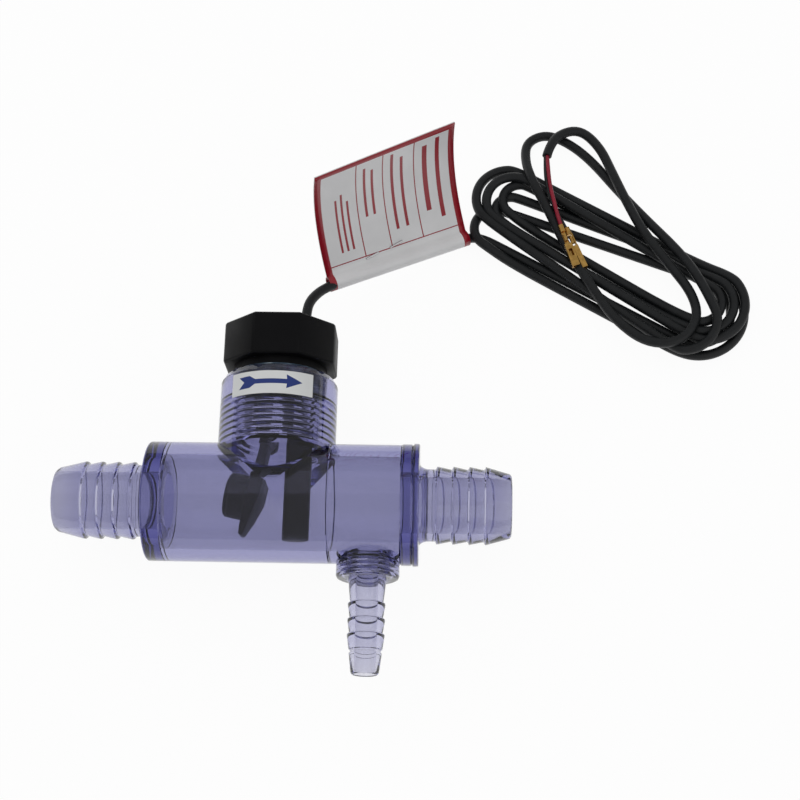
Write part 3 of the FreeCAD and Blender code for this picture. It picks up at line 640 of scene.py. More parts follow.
def make_tee():
    """The moulded tee, with the threaded neck."""
    tee = run_section("clear_tee", TEE_INLET_X, TEE_JOINT_X - GLUE_GAP)
    combine(tee, neck_outside("neck_tool"), "UNION")
    inside = neck_space("thread_tool")
    combine(inside, pipe_bore("bore_tool", TEE_INLET_X - 2, TEE_JOINT_X + NECK_R - 2), "UNION")
    combine(tee, inside, "DIFFERENCE")
    smooth(recalculate(tee), CREASE)
    return finish_piece(tee, "clear", "housing", "switch_tee", slot="clear_pvc")


def make_drain_section():
    """The short pipe with the drain's threaded boss."""
    pipe = run_section("clear_drain_section", TEE_JOINT_X, OUTLET_JOINT_X)
    here = (DRAIN_X, 0, 0)
    boss = [(-2, 0), (-2, BOSS_R), (BOSS_END + 0.9, BOSS_R), (BOSS_END + 0.25, BOSS_R - 0.3),
            (BOSS_END, BOSS_R - 0.9), (BOSS_END, 0)]
    combine(pipe, along_y("boss_tool", boss, here), "UNION")
    combine(pipe, pipe_bore("bore_tool", TEE_JOINT_X - 1, OUTLET_JOINT_X + 1), "DIFFERENCE")
    core_r = DRAIN_THREAD_R - DRAIN_THREAD_DEPTH
    edge = [(BOSS_END - 1, 0), (BOSS_END - 1, core_r)]
    edge += [(-y, r) for y, r in ring_thread(-BOSS_END, -BOSS_END - DRAIN_THREAD_LENGTH, DRAIN_THREAD_R,
                                             DRAIN_THREAD_PITCH, DRAIN_THREAD_DEPTH, 0)]
    floor = BOSS_END + DRAIN_THREAD_LENGTH
    edge += [(floor, core_r), (floor, DRAIN_BORE_R), (-3, DRAIN_BORE_R), (-3, 0)]
    combine(pipe, along_y("tapping_tool", edge, here), "DIFFERENCE")
    combine(pipe, neck_outside("neck_tool", GLUE_GAP), "DIFFERENCE")
    smooth(recalculate(pipe), CREASE)
    return finish_piece(pipe, "clear", "housing", "drain_section", slot="clear_pvc")


def barb_edge(length, first, tip_r, tip_round, bluntness):
    """The (distance from the tip, radius) outline of a main hose barb, outside only."""
    lip = (tip_r - BARB_BORE_R) / 2
    edge = [(0, BARB_BORE_R + lip * 0.6), (tip_round * 0.12, tip_r - lip),
            (tip_round * 0.45, tip_r - lip * 0.35), (tip_round, tip_r)]
    for ridge in range(BARB_RIDGES):
        peak = first + ridge * BARB_PITCH
        edge += [(peak - bluntness, BARB_RIDGE_R - bluntness * 0.18), (peak, BARB_RIDGE_R),
                 (peak + bluntness, BARB_RIDGE_R - bluntness * 0.3),
                 (peak + 0.35 + bluntness, BARB_ROOT_R + 0.12), (peak + 0.6 + bluntness, BARB_ROOT_R)]
    edge += [(length - 2.2, BARB_ROOT_R), (length - 1.2, BARB_ROOT_R + 0.25),
             (length - 0.4, BARB_ROOT_R + 0.7), (length, BARB_ROOT_R + 1.2)]
    return edge


def make_inlet_barb():
    face = TEE_INLET_X - FLANGE_LENGTH
    tip = face - INLET_BARB[0]
    edge = [(tip, BARB_BORE_R)] + [(tip + d, r) for d, r in barb_edge(*INLET_BARB)]
    edge += [(face, PIPE_R - FLANGE_ROUND)] + arc((face + FLANGE_ROUND, PIPE_R - FLANGE_ROUND), FLANGE_ROUND,
                                                  170, 90, 6)
    seat = TEE_INLET_X - GLUE_GAP
    edge += [(seat - GLUE_GROOVE, PIPE_R), (seat, PIPE_R - GLUE_GROOVE), (seat, BORE_R),
             (seat + 0.4, BORE_R - 0.4), (seat + 0.4, BARB_BORE_R + 0.3), (seat + 0.1, BARB_BORE_R)]
    barb = smooth(along_x("clear_inlet_barb", edge))
    return finish_piece(barb, "clear", "housing", "inlet_barb", slot="clear_barb")


def make_outlet_barb():
    face = OUTLET_JOINT_X + OUTLET_FLANGE_LENGTH
    tip = face + OUTLET_BARB[0]
    edge = [(tip, BARB_BORE_R)] + [(tip - d, r) for d, r in barb_edge(*OUTLET_BARB)]
    step, seat = face - OUTLET_LIP_LENGTH, OUTLET_JOINT_X + GLUE_GAP
    edge += [(face, OUTLET_LIP_R - 0.6), (face - 0.12, OUTLET_LIP_R - 0.18), (face - 0.4, OUTLET_LIP_R),
             (step + 0.1, OUTLET_LIP_R), (step, OUTLET_LIP_R - 0.1), (step - 0.15, OUTLET_FLANGE_R - 0.4),
             (step - 0.4, OUTLET_FLANGE_R - 0.1), (step - 0.55, OUTLET_FLANGE_R),
             (seat + GLUE_GROOVE, OUTLET_FLANGE_R), (seat, OUTLET_FLANGE_R - GLUE_GROOVE),
             (seat, BARB_BORE_R)]
    barb = smooth(along_x("clear_outlet_barb", edge))
    return finish_piece(barb, "clear", "housing", "outlet_barb", slot="clear_barb")


def make_drain_barb():
    start = BOSS_END + DRAIN_THREAD_LENGTH - GLUE_GAP
    male = ring_thread(-BOSS_END, -BOSS_END - DRAIN_THREAD_LENGTH, DRAIN_THREAD_R - THREAD_GAP,
                       DRAIN_THREAD_PITCH, DRAIN_THREAD_DEPTH, 0)
    edge = [(start, DRAIN_BORE_R), (start, male[-1][1])] + [(-y, r) for y, r in reversed(male)]
    edge += [(BOSS_END, DRAIN_STEM_R)]
    for ridge in DRAIN_RIDGES:
        edge += [(ridge + 0.5, DRAIN_WAIST_R), (ridge + 0.1, DRAIN_RIDGE_R - 0.05),
                 (ridge - 0.05, DRAIN_RIDGE_R), (ridge - 0.35, DRAIN_RIDGE_R)]
    edge += [(-40.6, DRAIN_WAIST_R), (-40.75, 4.3), (-40.9, 4.25), (-41.4, 4.25), (-41.6, 4.35), (-41.7, 4.5),
             (DRAIN_TIP + 0.8, 3.9), (DRAIN_TIP + 0.25, 3.7), (DRAIN_TIP, 3.4), (DRAIN_TIP, DRAIN_BORE_R)]
    barb = smooth(along_y("clear_drain_barb", edge, (DRAIN_X, 0, 0), 96))
    return finish_piece(barb, "drain_clear", "housing", "drain_barb", slot="clear_barb")


# ---------------------------------------------------------------- switch moulding
def rims(obj, heights, width):
    """Bevels the edges that lie flat at those heights along the neck."""
    pick(obj)
    for edge in obj.data.edges:
        ends = [(obj.data.vertices[v].co.y - ORIGIN.y) / MM for v in edge.vertices]
        edge.select = any(max(abs(y - height) for y in ends) < 0.01 for height in heights)
    bpy.ops.object.mode_set(mode="EDIT")
    bpy.ops.mesh.select_mode(type="EDGE")
    bpy.ops.mesh.bevel(offset=width * MM, segments=1, affect="EDGES")
    bpy.ops.mesh.select_mode(type="VERT")
    edit_done()
    return obj


def make_thread_tape():
    """Sealing tape wound on the plug's collar and thread, and a little past the neck's rim."""
    inner, top, end = THREAD_ROOT_R - THREAD_GAP, NECK_TOP + 1.0, SHANK_END + 0.6
    winding = ring_thread(THREAD_START, end, inner, THREAD_PITCH, THREAD_DEPTH, THREAD_TAPER)
    below = [(top, inner + 0.01), (THREAD_START, inner + 0.01)] + [(y, r + 0.01) for y, r in winding]
    above = [(y, r + TAPE) for y, r in winding[::-1]]
    above += [(THREAD_START, inner + TAPE), (NECK_TOP - 0.4, inner + TAPE),
              (NECK_TOP + 0.5, inner + TAPE + 0.25), (top, inner + TAPE)]
    tape = smooth(along_y("thread_tape", below + above))
    return finish_piece(tape, "tape", "housing")


def make_switch_body():
    """Octagonal head, threaded plug, hinge ears and reed stem, one black moulding."""
    corner = HEAD_FLATS / 2 / math.cos(math.pi / 8)
    deselect()
    bpy.ops.mesh.primitive_cylinder_add(vertices=8, radius=corner * MM, depth=(HEAD_TOP - HEAD_BASE) * MM,
                                        location=at(0, (HEAD_TOP + HEAD_BASE) / 2),
                                        rotation=(math.pi / 2, 0, 0))
    head = settle(named("head"))
    edit_all()
    bpy.ops.transform.rotate(value=math.pi / 8, orient_axis="Y", center_override=at(0, 0))
    edit_done()
    rims(head, (HEAD_BASE, HEAD_TOP), HEAD_BEVEL)
    floor, mouth = HEAD_TOP - WELL_DEPTH, HEAD_TOP + 1
    well = [(floor, 0), (floor, WELL_R), (mouth, WELL_R), (mouth, 0)]
    combine(head, along_y("well_tool", well, (STEM_X, 0, 0), 64), "DIFFERENCE")
    rounded(head, 0.25, 3)
    root = THREAD_ROOT_R - THREAD_GAP
    plug = [(HEAD_BASE + 0.5, 0), (HEAD_BASE + 0.5, root), (THREAD_START, root)]
    plug += ring_thread(THREAD_START, SHANK_END, root, THREAD_PITCH, THREAD_DEPTH, THREAD_TAPER)
    plug += [(SHANK_END + 0.2, plug[-1][1] - 0.05), (SHANK_END, plug[-1][1] - 0.4), (SHANK_END, 0)]
    plug = along_y("plug", plug)
    stem = [(SHANK_END + 0.5, 0), (SHANK_END + 0.5, STEM_R + 0.3), (SHANK_END - 0.2, STEM_R + 0.25),
            (SHANK_END - 0.8, STEM_R), (STEM_END + 0.45, STEM_R), (STEM_END + 0.12, STEM_R - 0.15),
            (STEM_END, STEM_R - 0.45), (STEM_END, 0)]
    stem = along_y("stem", stem, (STEM_X, 0, 0), 64)
    ears = []
    hx, hy = HINGE
    for side in (-1, 1):
        low, high = sorted((side * EAR_INNER, side * EAR_OUTER))
        tip = along_z("ear_tip", [(low, 0), (low, EAR_R - 0.3), (low + 0.3, EAR_R), (high - 0.3, EAR_R),
                                  (high, EAR_R - 0.3), (high, 0)], (hx, hy, 0))
        plate = block("ear_plate", (hx - EAR_R, hy, low), (hx + EAR_R, SHANK_END + 0.5, high), 0.3)
        ears += [tip, plate]
    body = smooth(join("switch_moulding", [head, plug, stem] + ears), 35)
    return finish_piece(body, "black_abs", "housing", "switch_body", slot="black_moulding")


def make_potting():
    """The resin round the cable, with a meniscus up the wall and up the jacket."""
    top, floor = HEAD_TOP - 0.5, HEAD_TOP - WELL_DEPTH
    hole = CABLE_R + 0.02
    edge = [(floor, hole), (floor, WELL_R - 0.03), (top + 0.35, WELL_R - 0.03), (top + 0.1, WELL_R - 0.35),
            (top, WELL_R - 0.9), (top, hole + 0.9), (top + 0.15, hole + 0.35), (top + 0.45, hole)]
    resin = smooth(along_y("potting_resin", edge, (STEM_X, 0, 0), 64))
    return finish_piece(resin, "resin", "housing", "cable_potting", slot="potting_resin")


# ---------------------------------------------------------------- paddle
def lean(obj):
    """Turns a piece built hanging straight down to the paddle's rest pose."""
    centre = at(*HINGE)
    turn = Matrix.Translation(centre) @ Matrix.Rotation(math.radians(-PADDLE_LEAN), 4, "Z")
    obj.data.transform(turn @ Matrix.Translation(-centre))
    return obj


def make_paddle():
    """Eye with its heel, arm, wedge blade and the drum's open body."""
    hx, hy = HINGE
    eye = along_z("eye", [(-EYE_HALF, EYE_BORE_R), (-EYE_HALF, EYE_R - 0.2), (0.2 - EYE_HALF, EYE_R),
                          (EYE_HALF - 0.2, EYE_R), (EYE_HALF, EYE_R - 0.2), (EYE_HALF, EYE_BORE_R)],
                  (hx, hy, 0))
    arm = block("arm", (hx - ARM_HALF, hy - 12.0, -ARM_HALF_WIDTH),
                (hx + ARM_HALF, hy - 0.9, ARM_HALF_WIDTH), 0.3)
    heel = block("heel", (hx - 2.3, hy + 0.9, -EYE_HALF), (hx + 0.8, hy + 6.05, EYE_HALF), 0.25)
    blade = block("blade", (hx - ARM_HALF, hy - BLADE_TIP, -BLADE_HALF_WIDTH),
                  (hx + BLADE_BACK, hy - BLADE_TOP, BLADE_HALF_WIDTH))
    tip_y = (hy - BLADE_TIP) * MM
    for vertex in blade.data.vertices:
        local = vertex.co - ORIGIN
        if abs(local.y - tip_y) < 1e-5:
            vertex.co.z = ORIGIN.z + math.copysign(BLADE_TIP_HALF * MM, local.z)
            if local.x > hx * MM:
                vertex.co.x = ORIGIN.x + (hx + BLADE_TIP_BACK) * MM
    pick(blade)
    bpy.ops.object.mode_set(mode="EDIT")
    for drop, _, _ in BLADE_STATIONS:
        bpy.ops.mesh.select_all(action="SELECT")
        bpy.ops.mesh.bisect(plane_co=at(0, hy - drop), plane_no=(0, 1, 0))
    edit_done()
    for vertex in blade.data.vertices:
        local = (vertex.co - ORIGIN) / MM
        for drop, width, back in BLADE_STATIONS:
            if abs(local.y - (hy - drop)) < 0.02:
                vertex.co.z = ORIGIN.z + math.copysign(width * MM, local.z)
                if local.x > hx:
                    vertex.co.x = ORIGIN.x + (hx + back) * MM
    rounded(blade, 0.6, 4, 20)
    seat = hx + DRUM_FACE + CAP_THICK
    back, bore = hx - DRUM_BACK, DRUM_R - DRUM_WALL
    drum = along_x("drum", [(seat + 0.02, bore), (seat + 0.02, DRUM_R - 0.08), (seat + 0.1, DRUM_R),
                            (back, DRUM_R), (back, 0), (back - DRUM_FLOOR, 0), (back - DRUM_FLOOR, bore)],
                   (0, hy - DRUM_CENTRE, 0), 64)
    paddle = smooth(lean(join("paddle_moulding", [eye, arm, heel, blade, drum])), 35)
    finish_piece(paddle, "paddle", "paddle", "paddle", slot="paddle_plastic")
    face = hx + DRUM_FACE
    step_r = DRUM_R - 1.15
    lid = along_x("magnet_lid", [(face, 0), (face, DRUM_R - 1.3)] +
                  arc((face + 1.0, DRUM_R - 1.0), 1.0, 170, 90, 6) +
                  [(seat, DRUM_R), (seat, step_r), (seat + 0.5, step_r), (seat + 0.5, 0)],
                  (0, hy - DRUM_CENTRE, 0), 64)
    smooth(lean(lid), 35)
    finish_piece(lid, "paddle", "paddle", "magnet_cap", slot="paddle_plastic")


# ---------------------------------------------------------------- label
def wrap_on_neck(obj, radius):
    """Bends a flat piece, drawn round the neck in degrees, on to the neck."""
    for vertex in obj.data.vertices:
        local = (vertex.co - ORIGIN) / MM
        turn = math.radians(local.x)
        r = radius + local.z
        vertex.co = at(r * math.sin(turn), local.y, r * math.cos(turn))
    return obj


def flat_cut(obj, step):
    """Cuts a flat piece across its width every step, so that it can bend."""
    pick(obj)
    bpy.ops.object.mode_set(mode="EDIT")
    xs = [(v.co.x - ORIGIN.x) / MM for v in obj.data.vertices]
    count = int((max(xs) - min(xs)) / step)
    for k in range(1, count):
        bpy.ops.mesh.select_all(action="SELECT")
        bpy.ops.mesh.bisect(plane_co=at(min(xs) + (max(xs) - min(xs)) * k / count, 0), plane_no=(1, 0, 0))
    edit_done()
    return obj


def plate(name, outline, thick):
    """A flat piece with that outline, thick from its back at height 0."""
    obj = chain(name, [at(x, y) for x, y in outline + outline[:1]])
    recalculate(obj)
    edit_all()
    bpy.ops.mesh.edge_face_add()
    bpy.ops.mesh.extrude_region_move(TRANSFORM_OT_translate={"value": (0, 0, thick * MM)})
    bpy.ops.mesh.select_all(action="SELECT")
    bpy.ops.mesh.normals_make_consistent(inside=False)
    edit_done()
    return obj


def make_label():
    """The sticker on the neck, and its flow arrow."""
    height = chosen().label_height / MM
    low = LABEL_TOP - height
    outline = [(LABEL_FROM, low), (LABEL_TO, low), (LABEL_TO, LABEL_TOP), (LABEL_FROM, LABEL_TOP)]
    label = wrap_on_neck(flat_cut(plate("neck_label", outline, 0.1), 2.5), NECK_R + 0.02)
    smooth(recalculate(label), 20)
    finish_piece(label, "vinyl", "housing", "flow_arrow_label", slot="label_vinyl")
    width, mid = LABEL_TO - LABEL_FROM, LABEL_TOP - height / 2 + 0.25
    shape = [(0.11, 1.55), (0.25, 1.75), (0.32, 0.68), (0.685, 0.68), (0.68, 2.0), (0.865, 0.0), (0.68, -2.0),
             (0.685, -0.68), (0.32, -0.68), (0.25, -1.75), (0.11, -1.9), (0.18, 0.0)]
    points = [(LABEL_FROM + width * u, mid + v) for u, v in reversed(shape)]
    arrow = wrap_on_neck(flat_cut(plate("flow_arrow", points, 0.015), 2.5), NECK_R + 0.121)
    finish_piece(smooth(recalculate(arrow), 20), "blue_ink", "housing")


# ---------------------------------------------------------------- cable
def tube(name, points, radius):
    """A smooth cord through control points given as (x, y, height over the table)."""
    data = bpy.data.curves.new(name, "CURVE")
    data.dimensions = "3D"
    spline = data.splines.new("NURBS")
    spline.points.add(len(points) - 1)
    for point, place in zip(spline.points, points):
        point.co = (*over_table(*place), 1.0)
    spline.order_u = 3
    spline.use_endpoint_u = True
    spline.resolution_u = 6
    data.bevel_depth = radius * MM
    data.bevel_resolution = 5
    data.use_fill_caps = True
    return placed(name, data)


def curve_length(obj):
    """The length of a curve's own line, from a copy of it with no bevel."""
    copy = placed("bare_copy", obj.data.copy())
    copy.data.bevel_depth = 0
    bpy.context.view_layer.update()
    mesh = bpy.data.meshes.new_from_object(copy.evaluated_get(bpy.context.evaluated_depsgraph_get()))
    places = [v.co.copy() for v in mesh.vertices]
    bpy.data.objects.remove(copy)
    return sum((b - a).length for a, b in zip(places, places[1:]))


def hank_turns():
    """The hank's route: an arc at each bend and a nearly straight run to the next one."""
    points = [LEAD_ROUTE[-1]]
    run = points[0][2]
    for x, y, radius, start, end, low, high, after in HANK_BENDS:
        turn = arc((x, y), radius, start, end, BEND_POINTS)
        here, there = points[-1], turn[0]
        points += [(here[0] + (there[0] - here[0]) * share, here[1] + (there[1] - here[1]) * share, run)
                   for share in RUN_SHARES]
        points += [(*place, low + (high - low) * k / (BEND_POINTS - 1)) for k, place in enumerate(turn)]
        run = after
    return points[1:]


def make_cable():
    """The whole cable, from the resin through the tag and round the hank."""
    cable = tube("signal_cable", LEAD_ROUTE + hank_turns() + TAIL_ROUTE, chosen().cable_diameter / 2 / MM)
    finish_piece(cable, "jacket", "housing", "cable_lead", "cable_hank", slot="cable_jacket")
    return cable


def core(name, route, ink, node_name, slot):
    wire = tube(name, route, chosen().core_diameter / 2 / MM)
    return finish_piece(wire, ink, "housing", node_name, slot=slot)


def crimp_terminal(name, node_name, seat, place):
    """A terminal laid where it comes to rest: on its core's end, turned and rolled on its axis."""
    deselect()
    obj = placed(name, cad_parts[node_name].data.copy())
    x, y, height, heading, roll = place
    back = Matrix.Rotation(math.radians(-seat[2]), 4, "Z")
    back = back @ Matrix.Translation(-over_table(*seat[:2], CORE_HEIGHT))
    turn = Matrix.Rotation(math.radians(heading), 4, "Z") @ Matrix.Rotation(math.radians(roll), 4, "X")
    obj.data.transform(Matrix.Translation(over_table(x, y, height)) @ turn @ back)
    recalculate(obj)
    smooth(rounded(obj, 0.05, 2, 40), 40)
    return finish_piece(obj, "gold", "housing", node_name, slot="terminal_brass")


# ---------------------------------------------------------------- tag
def tag_frame(along):
    """Where the tag's fold starts, its three directions, and how steeply the sheet leaves it."""
    start, end = over_table(*TAG_FROM), over_table(*TAG_TO)
    fold = (end - start).normalized()
    level = Vector((0, 0, 1)).cross(fold).normalized()
    share = along / TAG_WIDTH
    first = math.radians(TAG_START[0] + (TAG_START[1] - TAG_START[0]) * share)
    return start, fold, level, fold.cross(level), first


def tag_point(along, distance, lift):
    """A point of the tag: along its fold, up the curled sheet, and off its middle."""
    start, fold, level, up, first = tag_frame(along)
    curl = math.radians(TAG_CURL)
    bend = TAG_LENGTH / curl
    slope, mean = first + distance / bend, first + curl / 2
    y = bend * (math.sin(slope) - math.sin(first)) - lift * math.sin(slope)
    z = bend * (math.cos(first) - math.cos(slope)) + lift * math.cos(slope)
    shift = TAG_SKEW * (y * math.cos(mean) + z * math.sin(mean))
    return start + (fold * (along + shift) + level * y + up * z) * MM


def tag_loop_point(along, angle):
    """A point of the loop that holds the cable, at an angle round it from the sheet."""
    start, fold, level, up, first = tag_frame(along)
    turn = first + angle
    return start + (fold * along + (level * math.cos(turn) + up * math.sin(turn)) * TAG_LOOP_R) * MM


# Plain bars that fill the tag's four columns, as shares of its width and length:
# (from, to) across, then (from, to) up from the fold.
TAG_BARS = [
    ((0.135, 0.150), (0.20, 0.66)), ((0.175, 0.190), (0.20, 0.70)), ((0.215, 0.230), (0.20, 0.62)),
    ((0.340, 0.358), (0.42, 0.88)), ((0.395, 0.413), (0.42, 0.84)),
    ((0.535, 0.556), (0.24, 0.92)), ((0.605, 0.626), (0.24, 0.86)),
    ((0.765, 0.800), (0.30, 0.88)), ((0.860, 0.890), (0.22, 0.92)),
]
TAG_RULES = (0.29, 0.48, 0.705)
TAG_FOLD_BAND = 5.0


def tag_lines():
    """Where the tag's print has an edge: across its width, and up its length."""
    half = TAG_RULE / 2
    across = [0, TAG_BORDER, TAG_WIDTH - TAG_BORDER, TAG_WIDTH]
    across += [share * TAG_WIDTH + side for share in TAG_RULES for side in (-half, half)]
    across += [share * TAG_WIDTH for bar, _ in TAG_BARS for share in bar]
    up = [TAG_FOLD_BAND - half, TAG_FOLD_BAND + half, TAG_LENGTH - TAG_BORDER, TAG_LENGTH]
    up += [share * TAG_LENGTH for _, bar in TAG_BARS for share in bar]
    up += [2.6 + 1.9 * k for k in range(21)]
    return sorted(set(across)), sorted(set(v for v in up if 2.5 < v <= TAG_LENGTH))


def is_printed(along, distance):
    half = TAG_RULE / 2
    if along < TAG_BORDER or along > TAG_WIDTH - TAG_BORDER or distance > TAG_LENGTH - TAG_BORDER:
        return True
    if abs(distance - TAG_FOLD_BAND) < half:
        return True
    if distance < TAG_FOLD_BAND:
        return False
    if any(abs(along - share * TAG_WIDTH) < half for share in TAG_RULES):
        return True
    return any(a * TAG_WIDTH < along < b * TAG_WIDTH and c * TAG_LENGTH < distance < d * TAG_LENGTH
               for (a, b), (c, d) in TAG_BARS)


def make_tag():
    """A strip of laminated paper folded round the cable, its two leaves pressed together."""
    across, up = tag_lines()
    rows = [("leaf", v, -TAG_GAP) for v in reversed(up)]
    open_angle = math.radians(TAG_LOOP_OPEN)
    rows += [("loop", -open_angle - (2 * math.pi - 2 * open_angle) * k / (TAG_LOOP_POINTS - 1), 0)
             for k in range(TAG_LOOP_POINTS)]
    rows += [("leaf", v, TAG_GAP) for v in up]
    points, faces, printed = [], [], []
    for kind, value, lift in rows:
        for u in across:
            points.append(tag_point(u, value, lift) if kind == "leaf" else tag_loop_point(u, value))
    wide = len(across)
    for r in range(len(rows) - 1):
        for c in range(wide - 1):
            faces.append((r * wide + c, r * wide + c + 1, (r + 1) * wide + c + 1, (r + 1) * wide + c))
            middle_u = (across[c] + across[c + 1]) / 2
            a, b = rows[r], rows[r + 1]
            front = a[0] == "leaf" and b[0] == "leaf" and a[2] > 0
            edge = middle_u < TAG_BORDER or middle_u > TAG_WIDTH - TAG_BORDER
            printed.append(is_printed(middle_u, (a[1] + b[1]) / 2) if front else edge and a[2] >= 0)
    mesh = bpy.data.meshes.new("folded_tag")
    mesh.from_pydata(points, [], faces)
    tag = placed("folded_tag", mesh)
    finish_piece(tag, "paper", "housing", "cable_tag", slot="tag_paper")
    mesh.materials.append(finish("red_ink"))
    for face, red in zip(mesh.polygons, printed):
        face.material_index = int(red)
        face.use_smooth = True
    thick = tag.modifiers.new("leaf", "SOLIDIFY")
    thick.thickness = TAG_THICK * MM
    thick.offset = 0
    return tag


# ---------------------------------------------------------------- what carries over from CAD
CARRIED = {
    "hinge_pin": "steel", "paddle_magnet": "ferrite", "bias_magnet": "ferrite", "reed_capsule": "glass",
    "reed_blades": "reed", "red_inner_lead": "red_core", "black_inner_lead": "black_core",
    "tag_staples": "staple",
}


def dress_carried():
    for name, ink in CARRIED.items():
        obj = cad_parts[name]
        obj.data.materials.clear()
        obj.data.materials.append(finish(ink))


# ---------------------------------------------------------------- stage
# The camera's place and target in the working frame, its roll in radians, and its lens in millimetres.
CAMERA_PLACE = (50.583, -116.012, 441.642)
CAMERA_TARGET = (34.409, 30.778, 0.0)
CAMERA_ROLL = 0.025
CAMERA_LENS = 73.7
SKY_STRENGTH = 0.45
# The floor's side and how far it lies under the table's height, in metres, and how bright it looks.
FLOOR_SIZE = 6
FLOOR_DROP = 0.0004
FLOOR_GLOW = 0.95


def camera_basis():
    """The camera's place and its right, up and back directions."""
    place, target = Vector(CAMERA_PLACE), Vector(CAMERA_TARGET)
    ahead = (target - place).normalized()
    right = ahead.cross(Vector((0, 1, 0))).normalized()
    over = right.cross(ahead)
    turned = right * math.cos(CAMERA_ROLL) + over * math.sin(CAMERA_ROLL)
    return at(*place), turned, over * math.cos(CAMERA_ROLL) - right * math.sin(CAMERA_ROLL), -ahead


def lamp(name, place, aim, size, power):
    data = bpy.data.lights.new(name, "AREA")
    data.shape, data.size, data.size_y, data.energy = "RECTANGLE", size[0], size[1], power
    obj = placed(name, data)
    obj.location = place
    obj.rotation_euler = (Vector(aim) - Vector(place)).to_track_quat("-Z", "Y").to_euler()
    return obj


def make_stage():
    scene = bpy.context.scene
    place, right, up, back = camera_basis()
    data = bpy.data.cameras.new("camera")
    data.lens, data.sensor_width, data.clip_start, data.clip_end = CAMERA_LENS, 36.0, 0.01, 20.0
    camera = placed("camera", data)
    camera.matrix_world = Matrix.Translation(place) @ Matrix((right, up, back)).transposed().to_4x4()
    scene.camera = camera
    scene.view_settings.view_transform = "Standard"

    deselect()
    bpy.ops.mesh.primitive_plane_add(size=FLOOR_SIZE, location=(0, 0, -FLOOR_DROP))
    floor = named("floor")
    made, tree, shader, _ = surface("matt_white_paper")
    preset(shader, Base_Color=grey(0.93), Roughness=0.9, Specular_IOR_Level=0.1)
    rays = node(tree, "ShaderNodeLightPath").outputs
    seen = rays["Is Camera Ray"]
    for ray in ("Is Glossy Ray", "Is Transmission Ray"):
        seen = node(tree, "ShaderNodeMath", {0: seen, 1: rays[ray]}, operation="MAXIMUM").outputs[0]
    share = node(tree, "ShaderNodeMath", {0: seen}, operation="MULTIPLY")
    share.inputs[1].default_value = FLOOR_GLOW
    white = node(tree, "ShaderNodeEmission", Color=grey(1.0), Strength=1.0)
    mix = node(tree, "ShaderNodeMixShader", {0: share.outputs[0], 1: shader.outputs[0], 2: white.outputs[0]})
    out = next(n for n in tree.nodes if n.type == "OUTPUT_MATERIAL")
    tree.links.new(mix.outputs[0], out.inputs["Surface"])
    floor.data.materials.append(made)

    world = bpy.data.worlds.new("studio")
    scene.world = world
    world.use_nodes = True
    sky = next(n for n in world.node_tree.nodes if n.type == "BACKGROUND")
    sky.inputs["Color"].default_value = grey(1.0)
    sky.inputs["Strength"].default_value = SKY_STRENGTH
    key = lamp("key", (-0.35, 0.55, 1.0), (0.0, 0.02, 0.0), (1.5, 1.1), 5.0)
    key.visible_glossy = False
    lamp("fill", (0.8, -0.5, 0.8), (0.03, 0.0, 0.0), (1.0, 1.0), 1.6)


# ---------------------------------------------------------------- operators
def picked_colour(name, says, code):
    """A colour that a user may pick; it starts as the one written here in hex."""
    return bpy.props.FloatVectorProperty(name=name, description=says, default=linear(code), subtype="COLOR",
                                         size=4, min=0.0, max=1.0)


def picked_length(name, says, length):
    """A size that a user may set; it starts as the one given here in millimetres."""
    return bpy.props.FloatProperty(name=name, description=says, default=length * MM, min=0.0001,
                                   unit="LENGTH")


class FlowSwitchLooks(bpy.types.PropertyGroup):
    """The sizes and colours that a user may change."""
    cable_diameter: picked_length("Cable Diameter", "Outside of the cable's jacket", 2 * CABLE_R)
    core_diameter: picked_length("Core Diameter", "Outside of each core's insulation", 2 * CORE_R)
    label_height: picked_length("Label Height", "Height of the sticker, along the neck", LABEL_HEIGHT)
    # The clear pieces' colour: their faint tint plus painted shade of the floor seen through them.
    clear_tint_and_shade: picked_colour("Clear PVC", "Colour of the clear pieces where they are thin", "D1D1DC")
    drain_colour: picked_colour("Drain Barb", "Colour of the clear drain barb where it is thin", "E6E6EC")
    body_colour: picked_colour("Switch Body", "Colour of the black moulding", "0B0B0D")
    paddle_colour: picked_colour("Paddle", "Colour of the paddle and its magnet lid", "232328")
    label_colour: picked_colour("Label", "Colour of the sticker's vinyl", "DFE1E1")
    arrow_colour: picked_colour("Arrow", "Colour of the flow arrow", "0B2C78")
    tag_colour: picked_colour("Tag", "Colour of the tag's paper", "E9E9EA")
    print_colour: picked_colour("Tag Print", "Colour of the tag's border, rules and bars", "9C1325")
    jacket_colour: picked_colour("Cable Jacket", "Colour of the cable's jacket", "17191B")
    red_colour: picked_colour("Red Core", "Colour of the red core's insulation", "8C0F2A")
    black_colour: picked_colour("Black Core", "Colour of the black core's insulation", "17181A")
    terminal_colour: picked_colour("Terminals", "Colour of the terminals' flashed brass", "DDAF62")


class PieceOperator:
    """What all the operators share."""
    bl_options = {"REGISTER", "UNDO"}


class FLOW_OT_clear_pieces(PieceOperator, bpy.types.Operator):
    """Makes the clear tee, drain section and hose barbs"""
    bl_idname = "flow_switch.clear_pieces"
    bl_label = "Clear Pieces"

    def execute(self, context):
        make_tee()
        make_drain_section()
        make_inlet_barb()
        make_outlet_barb()
        make_drain_barb()
        return {"FINISHED"}


class FLOW_OT_switch(PieceOperator, bpy.types.Operator):
    """Makes the black switch moulding, its sealing tape and its resin"""
    bl_idname = "flow_switch.switch"
    bl_label = "Switch Body"

    def execute(self, context):
        make_switch_body()
        make_thread_tape()
        make_potting()
        return {"FINISHED"}


class FLOW_OT_paddle(PieceOperator, bpy.types.Operator):
    """Makes the paddle and its magnet lid"""
    bl_idname = "flow_switch.paddle"
    bl_label = "Paddle"

    def execute(self, context):
        make_paddle()
        return {"FINISHED"}


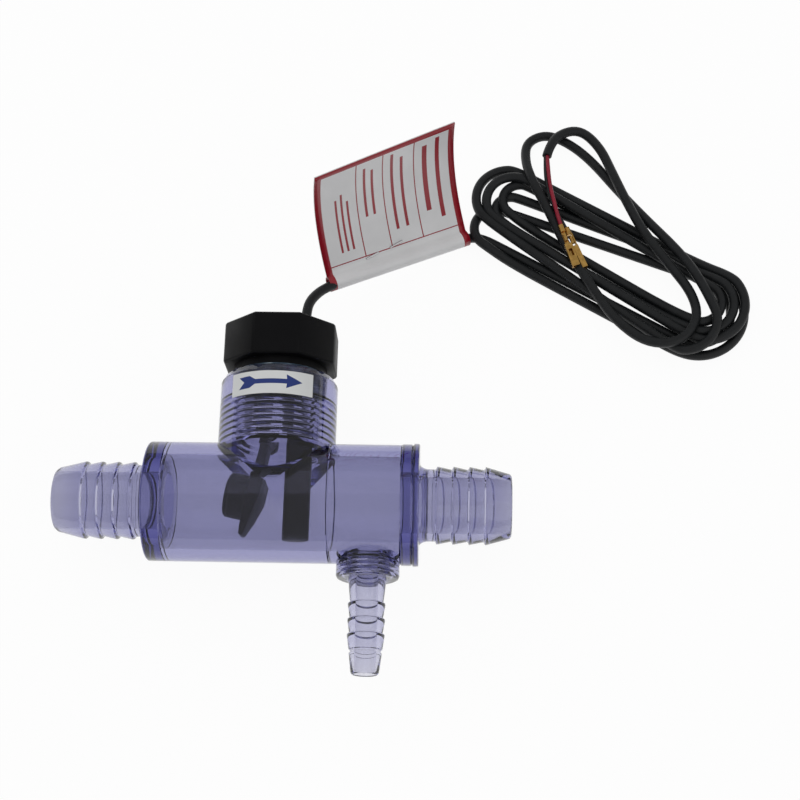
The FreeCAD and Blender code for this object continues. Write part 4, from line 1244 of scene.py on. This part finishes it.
class FLOW_OT_label(PieceOperator, bpy.types.Operator):
    """Makes the label with its flow arrow"""
    bl_idname = "flow_switch.label"
    bl_label = "Flow Label"

    def execute(self, context):
        make_label()
        return {"FINISHED"}


class FLOW_OT_cable(PieceOperator, bpy.types.Operator):
    """Makes the cable, its cores and the tag"""
    bl_idname = "flow_switch.cable"
    bl_label = "Cable and Tag"

    def execute(self, context):
        cable = make_cable()
        red = core("red_core_wire", RED_ROUTE, "red_core", "red_conductor", "red_insulation")
        black = core("black_core_wire", BLACK_ROUTE, "black_core", "black_conductor", "black_insulation")
        tag = make_tag()
        red_end = crimp_terminal("red_crimp_terminal", "red_terminal", RED_SEAT, RED_PLACE)
        black_end = crimp_terminal("black_crimp_terminal", "black_terminal", BLACK_SEAT, BLACK_PLACE)
        dress_carried()
        length = curve_length(cable)
        over_table(*LEAD_ROUTE[0])
        return {"FINISHED"}


class FLOW_OT_stage(PieceOperator, bpy.types.Operator):
    """Sets the table, the light and the camera"""
    bl_idname = "flow_switch.stage"
    bl_label = "Stage"

    def execute(self, context):
        make_stage()
        return {"FINISHED"}


class FLOW_PT_panel(bpy.types.Panel):
    """Lists the flow switch's pieces"""
    bl_idname = "FLOW_PT_panel"
    bl_label = "Paddle Flow Switch"
    bl_space_type = "VIEW_3D"
    bl_region_type = "UI"
    bl_category = "Flow Switch"

    def draw(self, context):
        for kind in OPERATORS:
            self.layout.operator(kind.bl_idname)


OPERATORS = [FLOW_OT_stage, FLOW_OT_cable, FLOW_OT_clear_pieces, FLOW_OT_switch, FLOW_OT_paddle,
             FLOW_OT_label]
CLASSES = [FlowSwitchLooks, *OPERATORS, FLOW_PT_panel]


def register():
    for kind in CLASSES:
        bpy.utils.register_class(kind)
    bpy.types.Scene.flow_switch = bpy.props.PointerProperty(type=FlowSwitchLooks)


def unregister():
    del bpy.types.Scene.flow_switch
    for kind in reversed(CLASSES):
        bpy.utils.unregister_class(kind)


def main():
    register()
    for kind in OPERATORS:
        family, action = kind.bl_idname.split(".")
        getattr(getattr(bpy.ops, family), action)()


if __name__ == "__main__":
    main()
